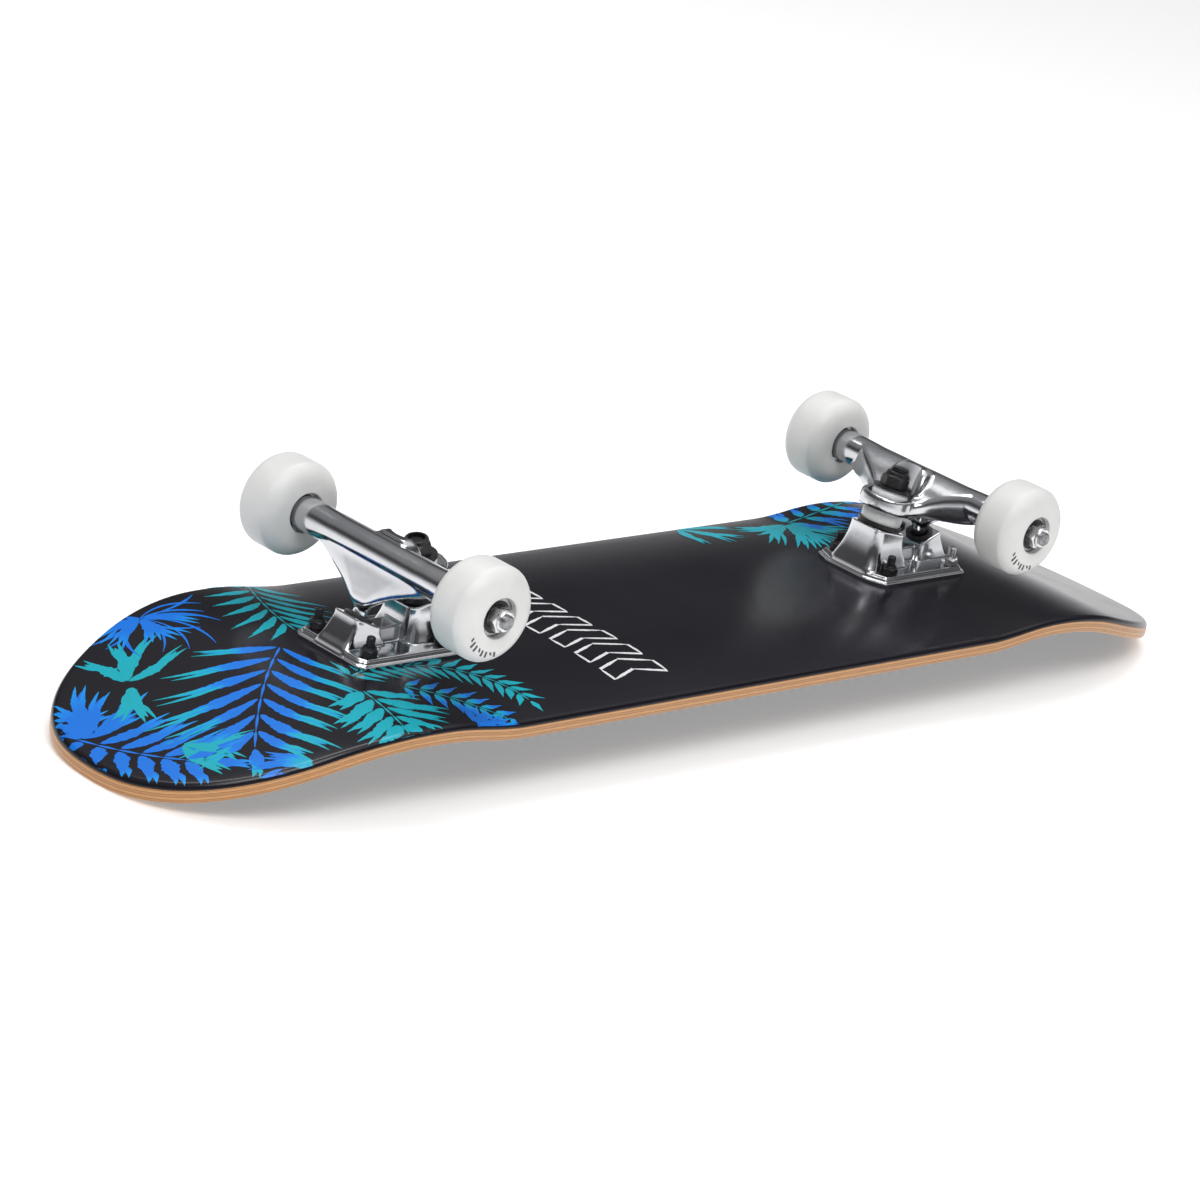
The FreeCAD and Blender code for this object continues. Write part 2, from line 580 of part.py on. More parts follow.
def spacers():
    half = SPACER_LENGTH / 2
    outer, inner = SPACER_RADII
    return group([ring(outer, inner, -half, half, AXLE + Y * (side * WHEEL_Y), Y) for side in (-1, 1)])


# A wheel's pieces are built round its own centre, turning about Y.
def wheel():
    """Cast urethane: a flat tread, cheeks that curve down to it, and a bearing seat in each face."""
    w, r, t = WHEEL_WIDTH / 2, WHEEL_RADIUS, TREAD_HALF_WIDTH
    core, seat, shoulder = WHEEL_CORE_RADIUS, BEARING_STACK / 2, SPACER_LENGTH / 2
    lip, mouth, face = WHEEL_LIP, WHEEL_MOUTH_RADIUS, WHEEL_FACE_RADIUS
    half = turned([(core, 0), (core, shoulder), (BEARING_RADIUS, shoulder), (BEARING_RADIUS, seat),
                   (mouth, seat + 0.4), (mouth, w - lip), (mouth + 0.3 * lip, w - 0.3 * lip, mouth + lip, w),
                   (face, w), (CHEEK_MIDDLE[0], CHEEK_MIDDLE[1], r - 0.6, t + 2.1),
                   (r - 0.2, t + 1.2, r, t), (r, 0)], vec(0, 0, 0), Y)
    return half.fuse(half.mirror(vec(0, 0, 0), Y)).removeSplitter()


def outer_races():
    races = []
    for b in bearing_places():
        race = ring(BEARING_RADIUS, OUTER_RACE_BORE, b - BEARING_WIDTH / 2, b + BEARING_WIDTH / 2, vec(0, 0, 0), Y)
        races.append(race.cut(groove(b)))
    return group(races)


def shields():
    """Two thin rubber shields a bearing, fixed in the outer race and clear of the inner one."""
    made = []
    for b in bearing_places():
        for face in (-1, 1):
            y = b + face * (BEARING_WIDTH / 2 - SHIELD_DEPTH)
            half = SHIELD_THICKNESS / 2
            made.append(ring(OUTER_RACE_BORE, SHIELD_BORE, y - half, y + half, vec(0, 0, 0), Y))
    return group(made)


def ball_directions():
    """Unit vectors from a bearing's axis to each of its balls."""
    turns = [2 * math.pi * i / BALL_COUNT for i in range(BALL_COUNT)]
    return [vec(math.cos(a), 0, math.sin(a)) for a in turns]


def balls():
    return group([Part.makeSphere(BALL_RADIUS, Y * b + out * BALL_PITCH_RADIUS)
                  for b in bearing_places() for out in ball_directions()])


def ball_cages():
    """A crown cage a bearing: a thin ring with a round pocket, open at the front, for each ball."""
    outer, inner = CAGE_RADII
    made = []
    for b in bearing_places():
        crown = ring(outer, inner, b - CAGE_BACK, b + CAGE_FRONT, vec(0, 0, 0), Y)
        for out in ball_directions():
            crown = crown.cut(rod(BALL_RADIUS + CAGE_CLEARANCE, inner - 1, outer + 1, Y * b, out))
        made.append(crown)
    return group(made)


# ---- assembly -----------------------------------------------------------------------------------------------------
TRUCK_PIECES = {"baseplate": baseplate, "pivot_cup": pivot_cup, "kingpin": kingpin, "kingpin_nut": kingpin_nut,
                "bottom_washer": bottom_washer, "top_washer": top_washer, "bottom_bushing": bottom_bushing,
                "top_bushing": top_bushing, "hanger": hanger, "axle": axle, "speed_washers": speed_washers,
                "axle_nuts": axle_nuts, "inner_races": inner_races, "bearing_spacers": spacers}
WHEEL_PIECES = {"wheel": wheel, "outer_races": outer_races, "bearing_shields": shields, "bearing_balls": balls,
                "ball_cages": ball_cages}
TRUCKS = {"nose": (NOSE_TRUCK, 0), "tail": (TAIL_TRUCK, 180)}
SIDES = {"left": -1, "right": 1}


def in_row_frame(shape, truck):
    x, turn = TRUCKS[truck]
    copy = shape.copy()
    place = FreeCAD.Placement(vec(x, 0, PRINT_HEIGHT), FreeCAD.Rotation(Z, turn))
    copy.Placement = place.multiply(copy.Placement)
    return copy


def marker_place():
    """The one bright bolt, at the outer left of the nose truck, shows which end is the nose."""
    return (NOSE_TRUCK + BOLT_SPACING_X / 2, -BOLT_SPACING_Y / 2)


def all_pieces():
    pieces = {"deck": deck(), "grip_tape": grip_tape()}
    plain = [p for p in bolt_places() if p != marker_place()]
    pieces["deck_bolts"] = group([deck_bolt(*p) for p in plain])
    pieces["deck_nuts"] = group([deck_nut(*p) for p in plain])
    pieces["marker_bolt"] = deck_bolt(*marker_place())
    pieces["marker_nut"] = deck_nut(*marker_place())
    for name, make in TRUCK_PIECES.items():
        shape = make()
        for truck in TRUCKS:
            pieces[truck + "_" + name] = in_row_frame(shape, truck)
    for name, make in WHEEL_PIECES.items():
        shape = make()
        for truck, (x, turn) in TRUCKS.items():
            outwards = -1 if turn else 1
            for side, sign in SIDES.items():
                at = vec(x + outwards * AXLE_U, sign * WHEEL_Y, PRINT_HEIGHT + AXLE_Z)
                pieces[truck + "_" + side + "_" + name] = shape.translated(at)
    return pieces


def main():
    os.makedirs("parts", exist_ok=True)
    for name, shape in all_pieces().items():
        shape.exportStep("parts/" + name + ".step")
        box = shape.BoundBox
        print(name, len(shape.Solids), shape.isValid(), "volume", round(shape.Volume, 1),
              "z", round(box.ZMin, 2), round(box.ZMax, 2))
    print("hinge points: ball", BALL, "ring", RING_CENTRE, "steer axis", (RING_CENTRE - BALL).normalize())
    print("print face", PRINT_HEIGHT, "trucks", NOSE_TRUCK, TAIL_TRUCK, "wheel y", WHEEL_Y)


main()
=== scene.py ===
"""Looks of a complete skateboard, lying upside down on its nose and tail with the wheels up."""
import math
import random

import bpy
import numpy as np
from mathutils import Matrix, Vector


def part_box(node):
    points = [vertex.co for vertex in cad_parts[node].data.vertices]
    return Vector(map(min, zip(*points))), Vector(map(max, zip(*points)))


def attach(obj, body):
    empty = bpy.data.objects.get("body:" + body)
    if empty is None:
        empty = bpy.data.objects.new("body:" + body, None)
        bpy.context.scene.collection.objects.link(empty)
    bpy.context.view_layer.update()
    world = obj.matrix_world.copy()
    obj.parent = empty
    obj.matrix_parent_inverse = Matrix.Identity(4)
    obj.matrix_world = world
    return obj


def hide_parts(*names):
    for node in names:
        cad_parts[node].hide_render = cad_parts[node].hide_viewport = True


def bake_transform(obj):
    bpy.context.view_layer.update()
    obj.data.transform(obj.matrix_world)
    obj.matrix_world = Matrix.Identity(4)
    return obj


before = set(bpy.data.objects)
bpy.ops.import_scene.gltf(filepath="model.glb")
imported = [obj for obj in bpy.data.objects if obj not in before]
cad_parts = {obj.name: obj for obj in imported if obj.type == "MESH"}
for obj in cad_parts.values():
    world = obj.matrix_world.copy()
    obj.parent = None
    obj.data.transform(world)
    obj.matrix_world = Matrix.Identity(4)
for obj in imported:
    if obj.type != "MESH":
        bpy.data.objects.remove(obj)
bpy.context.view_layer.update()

mm = 0.001


# ---- Studio ----------------------------------------------------------------------------------------------
# A white sweep under two large soft boxes, with a dark band above the horizon, so that the polished metal has
# something dark to reflect. The board lies across the view, tail first.
def point_at(thing, place, target):
    thing.location = place
    thing.rotation_mode = "QUATERNION"
    thing.rotation_quaternion = (Vector(place) - Vector(target)).to_track_quat("Z", "Y")


def soft_box(name, place, target, size, power):
    lamp = bpy.data.lights.new(name, "AREA")
    lamp.shape, lamp.size, lamp.size_y, lamp.energy = "RECTANGLE", size[0], size[1], power
    box = bpy.data.objects.new(name, lamp)
    bpy.context.scene.collection.objects.link(box)
    point_at(box, place, target)


def new_material(name):
    """A material with its Principled shader, ready for nodes."""
    made = bpy.data.materials.new(name)
    made.use_nodes = True
    return made, made.node_tree.nodes, made.node_tree.links, made.node_tree.nodes["Principled BSDF"]


camera = bpy.data.objects.new("camera", bpy.data.cameras.new("camera"))
bpy.context.scene.collection.objects.link(camera)
azimuth, elevation, roll = math.radians(-48), math.radians(19.3), math.radians(11.4)
aim, distance = Vector((-0.048, 0, 0.055)), 2.5
towards = Vector((math.sin(azimuth) * math.cos(elevation), -math.cos(azimuth) * math.cos(elevation),
                  math.sin(elevation)))
facing = towards.to_track_quat("Z", "Y").to_matrix() @ Matrix.Rotation(roll, 3, "Z")
camera.matrix_world = Matrix.Translation(aim + towards * distance) @ facing.to_4x4()
camera.data.lens = 136
camera.data.sensor_width = 36
camera.data.clip_start, camera.data.clip_end = 0.1, 60
bpy.context.scene.camera = camera
bpy.context.scene.view_settings.view_transform = "Standard"

world = bpy.data.worlds.new("studio")
bpy.context.scene.world = world
world.use_nodes = True
air, joins = world.node_tree.nodes, world.node_tree.links
direction = air.new("ShaderNodeTexCoord")
height = air.new("ShaderNodeSeparateXYZ")
joins.new(direction.outputs["Generated"], height.inputs[0])
ceiling = air.new("ShaderNodeValToRGB")
while len(ceiling.color_ramp.elements) < 5:
    ceiling.color_ramp.elements.new(0.5)
for stop, (position, grey) in zip(ceiling.color_ramp.elements,
                                  ((0.03, 1.0), (0.20, 0.12), (0.40, 0.09), (0.58, 0.36), (1.0, 0.46))):
    stop.position, stop.color = position, (grey, grey, grey * 1.03, 1)
joins.new(height.outputs["Z"], ceiling.inputs["Fac"])
joins.new(ceiling.outputs["Color"], air["Background"].inputs["Color"])
air["Background"].inputs["Strength"].default_value = 0.72

soft_box("key", (-1.1, -1.3, 2.3), (0, 0, 0), (1.8, 1.2), 32)
soft_box("top", (0.3, 0.7, 2.3), (0, 0, 0), (2.2, 0.9), 24)
fill = bpy.data.lights.new("even fill", "SUN")
fill.energy, fill.angle = 0.7, math.radians(70)
sky = bpy.data.objects.new("even fill", fill)
bpy.context.scene.collection.objects.link(sky)
point_at(sky, (0.4, -0.5, 2.0), (0, 0, 0))

bpy.ops.object.select_all(action="DESELECT")
bpy.ops.mesh.primitive_plane_add(size=60, location=(0, 0, -0.1 * mm))
sweep = bpy.context.object
sweep.name = "sweep"
paint, nodes, links, shader = new_material("white sweep")
shader.inputs["Base Color"].default_value = (0.93, 0.93, 0.93, 1)
shader.inputs["Roughness"].default_value = 0.75
shader.inputs["Emission Color"].default_value = (1, 1, 1, 1)
shader.inputs["Emission Strength"].default_value = 0.3
sweep.data.materials.append(paint)


# ---- Deck ------------------------------------------------------------------------------------------------
# Seven maple veneers pressed with a concave and two kicks, sawn to its outline and rounded over. A glossy
# printed film is pressed on to the lower face, here uppermost, and wraps the rounded edge.
deck_low, deck_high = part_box("deck")
half_width = (deck_high.y - deck_low.y) / 2
thickness = 10.5 * mm
grip_height = 38.3 * mm             # floor to the flat of the grip side
print_height = grip_height + thickness
middle = -6.8 * mm                  # of the wheelbase
flat_half = 30 * mm                 # flat strip down the middle of the concave
concave_deep, concave_shallow = 6.0 * mm, 1.2 * mm
concave_fades = (186 * mm, 242 * mm)
taper_start = 232 * mm
edge_round = 3.0 * mm
film = 0.12 * mm
kicks = {1: {"tip": deck_high.x - middle, "start": 246 * mm, "bend": 205 * mm, "power": 2.55},
         -1: {"tip": middle - deck_low.x, "start": 250 * mm, "bend": 185 * mm, "power": 2.35}}


def slope_of(kick):
    """The slope that brings the grip side down to the floor at the tip."""
    length, slope = kick["tip"] - kick["start"], 0.3
    for _ in range(6):
        drop = grip_height + edge_round * (math.tan(math.pi / 4 + slope / 2) - 1)
        reach = math.hypot(length, kick["bend"] - drop)
        slope = math.atan2(length, kick["bend"] - drop) - math.acos(kick["bend"] / reach)
    return slope


for kick in kicks.values():
    kick["slope"] = slope_of(kick)


def deck_z(x, y, height):
    """Height above the floor of the point of the deck at this plan place, that far above the grip side."""
    along = abs(x - middle)
    kick = kicks[1 if x > middle else -1]
    fade = min(1.0, max(0.0, (along - concave_fades[0]) / (concave_fades[1] - concave_fades[0])))
    concave = concave_deep + (concave_shallow - concave_deep) * fade * fade * (3 - 2 * fade)
    reach = half_width - flat_half
    curve = (reach * reach + concave * concave) / (2 * concave) + height
    side = max(0.0, abs(y) - flat_half)
    rise = height - (curve - math.sqrt(curve * curve - side * side))
    slope, bend, start = kick["slope"], kick["bend"], kick["start"]
    if along <= start:
        return grip_height + rise
    turn = math.asin(min(1.0, (along - start) / (bend + rise)))
    if turn <= slope:
        return grip_height - bend * (1 - math.cos(turn)) + rise * math.cos(turn)
    run = (along - start - (bend + rise) * math.sin(slope)) / math.cos(slope)
    return grip_height - bend * (1 - math.cos(slope)) - run * math.sin(slope) + rise * math.cos(slope)


def outline():
    """(x, half width, normal along, normal across) down the deck's plan, from tail tip to nose tip."""
    quarter, found = 60, {}
    for end, kick in kicks.items():
        length, power = kick["tip"] - taper_start, kick["power"]
        found[end] = []
        for i in range(quarter + 1):
            a = math.pi / 2 * i / quarter
            u, v = math.cos(a) ** (2 / power), math.sin(a) ** (2 / power)
            nx, ny = u ** (power - 1) / length, v ** (power - 1) / half_width
            size = math.hypot(nx, ny)
            x = middle + end * (taper_start + length * u)
            found[end].append((x, half_width * v, end * nx / size, ny / size))
    rails = [(middle + taper_start * t, half_width, 0.0, 1.0) for t in np.linspace(-1, 1, 78)[1:-1]]
    return found[-1] + rails + found[1][::-1]


def skin(name, rings):
    """A closed sheet through rings of points. Rows that meet in a point or a line are merged."""
    rows, columns = len(rings), len(rings[0])
    bpy.ops.object.select_all(action="DESELECT")
    bpy.ops.mesh.primitive_grid_add(x_subdivisions=rows - 1, y_subdivisions=columns - 1, size=1)
    made = bpy.context.object
    made.name = name
    for v in made.data.vertices:
        v.co = rings[round((v.co.x + 0.5) * (rows - 1))][round((v.co.y + 0.5) * (columns - 1))]
    bpy.ops.object.mode_set(mode="EDIT")
    bpy.ops.mesh.select_all(action="SELECT")
    bpy.ops.mesh.remove_doubles(threshold=0.002 * mm)
    bpy.ops.mesh.normals_make_consistent(inside=False)
    bpy.ops.object.mode_set(mode="OBJECT")
    return made


def pressed(name, section):
    """A sheet bent like the deck. Section is its (share across, inset from the outline, height) points."""
    rings = []
    for x, y, nx, ny in outline():
        ring = []
        for share, inset, height in section:
            px, py = x - inset * nx, share * max(0.0, y - inset * ny)
            ring.append((px, py, deck_z(px, py, height)))
        rings.append(ring)
    made = skin(name, rings)
    level = made.data.attributes.new("level", "FLOAT", "POINT")
    level.data.foreach_set("value", [height_above_grip(v.co) / thickness for v in made.data.vertices])
    return made


def height_above_grip(place):
    return place.z - deck_z(place.x, place.y, 0.0)


def quarter_round(side, radius, start, end, centre, steps=6):
    """Section points of the rounded edge, from angle start to end, in degrees above the level."""
    points = []
    for a in np.linspace(math.radians(start), math.radians(end), steps):
        points.append((side, edge_round - radius * math.cos(a), centre + radius * math.sin(a)))
    return points


def only(*things):
    """Leaves these objects selected, the first of them active."""
    bpy.ops.object.select_all(action="DESELECT")
    for thing in things:
        thing.select_set(True)
    bpy.context.view_layer.objects.active = things[0]


def smooth(piece, angle):
    only(piece)
    bpy.ops.object.shade_smooth_by_angle(angle=math.radians(angle))


def cut(piece, *cutters):
    """Takes the cutters out of the piece."""
    for cutter in cutters:
        only(piece)
        difference = piece.modifiers.new("cut", "BOOLEAN")
        difference.operation, difference.object, difference.solver = "DIFFERENCE", cutter, "EXACT"
        bpy.ops.object.modifier_apply(modifier=difference.name)
        bpy.data.objects.remove(cutter)


def turned(name, profile, centre, axis=(0, 0, 1), steps=64):
    """A piece spun round an axis through centre. Profile is its closed (radius, height) points, in mm."""
    axis = Vector(axis).normalized()
    outwards = axis.orthogonal().normalized()
    places = [Vector(centre) + outwards * (r * mm) + axis * (h * mm) for r, h in profile]
    bpy.ops.object.select_all(action="DESELECT")
    bpy.ops.mesh.primitive_circle_add(vertices=3, radius=1 * mm, location=places[0])
    made = bpy.context.object
    made.name = name
    bpy.ops.object.transform_apply(location=True)
    bpy.ops.object.mode_set(mode="EDIT")
    bpy.ops.mesh.select_all(action="SELECT")
    bpy.ops.mesh.merge(type="CENTER")
    for here, there in zip(places, places[1:] + places[:1]):
        bpy.ops.mesh.extrude_region_move(TRANSFORM_OT_translate={"value": there - here})
    bpy.ops.mesh.select_all(action="SELECT")
    bpy.ops.mesh.spin(steps=steps, angle=2 * math.pi, center=centre, axis=axis)
    bpy.ops.mesh.select_all(action="SELECT")
    bpy.ops.mesh.remove_doubles(threshold=0.005 * mm)
    bpy.ops.mesh.normals_make_consistent(inside=False)
    bpy.ops.object.mode_set(mode="OBJECT")
    return made


def copied(piece, name, move):
    """A copy with its own mesh, its place moved by a matrix."""
    made = piece.copy()
    made.data = piece.data.copy()
    made.name = name
    bpy.context.scene.collection.objects.link(made)
    made.data.transform(move)
    return made


across = list(np.linspace(-1, 1, 23))
top = thickness - film
wood_section = ([(t, edge_round, top) for t in across]
                + quarter_round(1, edge_round - film, 90, 0, thickness - edge_round)[1:]
                + [(1, 0.0, thickness - edge_round - 0.1 * mm)]
                + [(1, 0.0, h * mm) for h in (6.5, 5.2, 4.0)]
                + quarter_round(1, edge_round, 0, -90, edge_round)
                + [(-t, edge_round, 0.0) for t in across[1:]]
                + quarter_round(-1, edge_round, -90, 0, edge_round)[1:]
                + [(-1, 0.0, h * mm) for h in (4.0, 5.2, 6.5)]
                + [(-1, 0.0, thickness - edge_round - 0.1 * mm)]
                + quarter_round(-1, edge_round - film, 0, 90, thickness - edge_round))
wood = pressed("deck_wood", wood_section)
film_section = ([(t, edge_round, thickness) for t in across]
                + quarter_round(1, edge_round, 90, 4, thickness - edge_round, 9)[1:]
                + quarter_round(1, edge_round - film, 4, 90, thickness - edge_round, 9)
                + [(-t, edge_round, top) for t in across[1:]]
                + quarter_round(-1, edge_round - film, 90, 4, thickness - edge_round, 9)[1:]
                + quarter_round(-1, edge_round, 4, 90, thickness - edge_round, 9))
printed = pressed("deck_print", film_section)

plates = {truck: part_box(truck + "_baseplate") for truck in ("nose", "tail")}
truck_x = {"nose": plates["nose"][0].x + 41 * mm, "tail": plates["tail"][1].x - 41 * mm}
bolt_pitch = (54 * mm, 41.3 * mm)
bolt_places = [(x + sx * bolt_pitch[0] / 2, sy * bolt_pitch[1] / 2)
               for x in truck_x.values() for sx in (-1, 1) for sy in (-1, 1)]
bolt_hole, head_hole, head_depth = 2.6, 4.8, 2.8
for x, y in bolt_places:
    base = (x, y, grip_height)
    cut(wood, turned("drill", [(0, -2), (head_hole, -2), (head_hole, 0.3), (bolt_hole, head_depth),
                               (bolt_hole, 14), (0, 14)], base, steps=32))
    cut(printed, turned("drill", [(0, 5), (bolt_hole, 5), (bolt_hole, 14), (0, 14)], base, steps=32))
smooth(wood, 40)
smooth(printed, 40)


def node_group(name, inputs, outputs):
    """An empty shader node group with float inputs (name, default) and outputs (name, kind)."""
    made = bpy.data.node_groups.new(name, "ShaderNodeTree")
    for label, value in inputs:
        made.interface.new_socket(label, in_out="INPUT", socket_type="NodeSocketFloat").default_value = value
    for label, kind in outputs:
        made.interface.new_socket(label, in_out="OUTPUT", socket_type="NodeSocket" + kind)
    return made, made.nodes, made.links, made.nodes.new("NodeGroupInput"), made.nodes.new("NodeGroupOutput")


# Fine marks of handling: long faint scratches and cloudy smears, as a share to add to a roughness.
handling, nodes, links, given, result = node_group("handling marks", [("Scale", 40.0), ("Amount", 0.1)],
                                                   [("Roughness", "Float"), ("Height", "Float")])
place = nodes.new("ShaderNodeTexCoord")
stretch = nodes.new("ShaderNodeMapping")
stretch.inputs["Scale"].default_value = (1.0, 14.0, 6.0)
stretch.inputs["Rotation"].default_value = (0.0, 0.3, 0.6)
fine, cloud = nodes.new("ShaderNodeTexNoise"), nodes.new("ShaderNodeTexNoise")
fine.inputs["Detail"].default_value = 6
cloud.inputs["Scale"].default_value = 18
both = nodes.new("ShaderNodeMath")
both.operation = "MULTIPLY"
scaled = nodes.new("ShaderNodeMath")
scaled.operation = "MULTIPLY"
links.new(place.outputs["Object"], stretch.inputs["Vector"])
links.new(stretch.outputs["Vector"], fine.inputs["Vector"])
links.new(given.outputs["Scale"], fine.inputs["Scale"])
links.new(place.outputs["Object"], cloud.inputs["Vector"])
links.new(fine.outputs["Fac"], both.inputs[0])
links.new(cloud.outputs["Fac"], both.inputs[1])
links.new(both.outputs[0], scaled.inputs[0])
links.new(given.outputs["Amount"], scaled.inputs[1])
links.new(scaled.outputs[0], result.inputs["Roughness"])
links.new(fine.outputs["Fac"], result.inputs["Height"])


def add_handling(nodes, links, shader, roughness, amount, scale, bump=0.0):
    """Roughness from a base value plus the handling marks, and if asked a trace of them as relief."""
    marks = nodes.new("ShaderNodeGroup")
    marks.node_tree = handling
    marks.inputs["Scale"].default_value = scale
    marks.inputs["Amount"].default_value = amount
    total = nodes.new("ShaderNodeMath")
    total.operation = "ADD"
    total.inputs[1].default_value = roughness
    links.new(marks.outputs["Roughness"], total.inputs[0])
    links.new(total.outputs[0], shader.inputs["Roughness"])
    if bump:
        relief = nodes.new("ShaderNodeBump")
        relief.inputs["Strength"].default_value = bump
        relief.inputs["Distance"].default_value = 0.05 * mm
        links.new(marks.outputs["Height"], relief.inputs["Height"])
        links.new(relief.outputs["Normal"], shader.inputs["Normal"])


def ramp(nodes, stops, interpolation="LINEAR"):
    """A colour ramp from (position, colour) stops."""
    made = nodes.new("ShaderNodeValToRGB")
    made.color_ramp.interpolation = interpolation
    while len(made.color_ramp.elements) < len(stops):
        made.color_ramp.elements.new(0.5)
    for element, (position, colour) in zip(made.color_ramp.elements, stops):
        element.position, element.color = position, (*colour, 1)
    return made


# Maple: seven veneers, whose ends and long grain show by turns round the sawn edge.
maple, nodes, links, shader = new_material("maple ply")
level = nodes.new("ShaderNodeAttribute")
level.attribute_name = "level"
light, mid, dark = (0.62, 0.33, 0.125), (0.50, 0.24, 0.08), (0.17, 0.065, 0.022)
ply_count, glue_line = 7, 0.02      # glue line as a share of the thickness
veneers = []
for i in range(ply_count):
    tone = light if i % 2 == 0 else mid
    veneers.append((i / ply_count + glue_line, tone))
    veneers.append(((i + 1) / ply_count - glue_line, tone))
    if i < ply_count - 1:
        veneers.append(((i + 1) / ply_count, dark))
plies = ramp(nodes, veneers)
place = nodes.new("ShaderNodeTexCoord")
along_grain = nodes.new("ShaderNodeMapping")
along_grain.inputs["Scale"].default_value = (30, 30, 900)
fibres = nodes.new("ShaderNodeTexNoise")
fibres.inputs["Scale"].default_value = 6
fibres.inputs["Detail"].default_value = 8
tint = ramp(nodes, [(0.3, (0.72, 0.66, 0.6)), (0.7, (1.15, 1.12, 1.08))])
mixed = nodes.new("ShaderNodeMix")
mixed.data_type, mixed.blend_type = "RGBA", "MULTIPLY"
mixed.inputs["Factor"].default_value = 0.75
relief = nodes.new("ShaderNodeBump")
relief.inputs["Strength"].default_value = 0.35
relief.inputs["Distance"].default_value = 0.1 * mm
links.new(level.outputs["Fac"], plies.inputs["Fac"])
links.new(place.outputs["Object"], along_grain.inputs["Vector"])
links.new(along_grain.outputs["Vector"], fibres.inputs["Vector"])
links.new(fibres.outputs["Fac"], tint.inputs["Fac"])
links.new(plies.outputs["Color"], mixed.inputs["A"])
links.new(tint.outputs["Color"], mixed.inputs["B"])
links.new(mixed.outputs["Result"], shader.inputs["Base Color"])
links.new(fibres.outputs["Fac"], relief.inputs["Height"])
links.new(relief.outputs["Normal"], shader.inputs["Normal"])
shader.inputs["Roughness"].default_value = 0.42
shader.inputs["Coat Weight"].default_value = 0.25
shader.inputs["Coat Roughness"].default_value = 0.3
wood.data.materials.append(maple)

# Film: a near-black printed ground under clear gloss.
ground, nodes, links, shader = new_material("printed film")
place = nodes.new("ShaderNodeTexCoord")
drift = nodes.new("ShaderNodeTexNoise")
drift.inputs["Scale"].default_value = 9
shade = ramp(nodes, [(0.3, (0.0042, 0.0036, 0.0075)), (0.75, (0.0068, 0.0058, 0.0105))])
links.new(place.outputs["Object"], drift.inputs["Vector"])
links.new(drift.outputs["Fac"], shade.inputs["Fac"])
links.new(shade.outputs["Color"], shader.inputs["Base Color"])
add_handling(nodes, links, shader, 0.2, 0.14, 60)
shader.inputs["Specular IOR Level"].default_value = 0.42
printed.data.materials.append(ground)

for piece, finish in ((wood, "deck"), (printed, "printed_film")):
    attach(piece, "board")
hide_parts("deck")


# ---- Print -----------------------------------------------------------------------------------------------
# Palm, bamboo and flower leaves in azure and turquoise inks, thickest at the tail, and a row of outlined
# chevrons across the middle. Each stroke is a film of ink that follows the deck over its rounded edge.
inks = random.Random(7)
strokes = []
ink_lift = 0.05 * mm
ink_layer = 0.003 * mm


def edge_distance(x, y):
    """How far inside the deck's outline a plan place is, and the plan direction straight outwards."""
    end = 1 if x > middle else -1
    kick = kicks[end]
    length, power = kick["tip"] - taper_start, kick["power"]
    u, v = max(0.0, (end * (x - middle) - taper_start) / length), abs(y) / half_width
    if u == 0.0:
        return half_width - abs(y), Vector((0.0, math.copysign(1.0, y)))
    k = (u ** power + v ** power) ** (1 / power)
    steep = Vector((end * (u / k) ** (power - 1) / length,
                    math.copysign((v / k) ** (power - 1), y) / half_width))
    return (1 - k) / steep.length, steep.normalized()


def on_print(x, y, lift):
    """The place on the printed face over this plan place, kept within the outline."""
    inside, outwards = edge_distance(x, y)
    least = 0.5 * mm
    if inside < least:
        x, y = x + outwards.x * (inside - least), y + outwards.y * (inside - least)
        inside = least
    drop = 0.0
    if inside < edge_round:
        drop = edge_round - math.sqrt(edge_round ** 2 - (edge_round - inside) ** 2)
    return Vector((x, y, deck_z(x, y, thickness - drop) + lift))


def stroke(start, end, width, hues, bend=0.06, blunt=0.0, widest=0.42):
    """One brush stroke between two plan places in mm. Hues run from 0, turquoise, to 1, azure."""
    start, end = Vector(start) * mm, Vector(end) * mm
    while edge_distance(end.x, end.y)[0] < 0.7 * mm and (end - start).length > 4 * mm:
        end = start.lerp(end, 0.93)
    run = end - start
    sideways = Vector((-run.y, run.x))
    rows = max(8, round(run.length / (1.5 * mm)))
    columns = 4 if width < 6 else 6
    bpy.ops.object.select_all(action="DESELECT")
    bpy.ops.mesh.primitive_grid_add(x_subdivisions=rows, y_subdivisions=columns, size=1, calc_uvs=True)
    made = bpy.context.object
    lift = ink_lift + ink_layer * (len(strokes) % 24)
    rough = [inks.uniform(0.86, 1.12) for _ in range(rows + 1)]
    hue = made.data.attributes.new("hue", "FLOAT", "POINT")
    values = []
    for v in made.data.vertices:
        t, s = v.co.x + 0.5, v.co.y
        grown = (t / widest) ** 0.5 if t < widest else ((1 - t) / (1 - widest)) ** (0.85 - 0.4 * blunt)
        half = width * mm * (0.04 + 0.96 * max(0.0, grown)) * rough[round(t * rows)] * s
        if t > 0.995:
            half = blunt * width * mm * s * 0.5
        place = start + run * t + sideways * (bend * 4 * t * (1 - t)) + sideways.normalized() * half
        v.co = on_print(place.x, place.y, lift)
        values.append(hues[0] + (hues[1] - hues[0]) * t)
    hue.data.foreach_set("value", values)
    strokes.append(made)


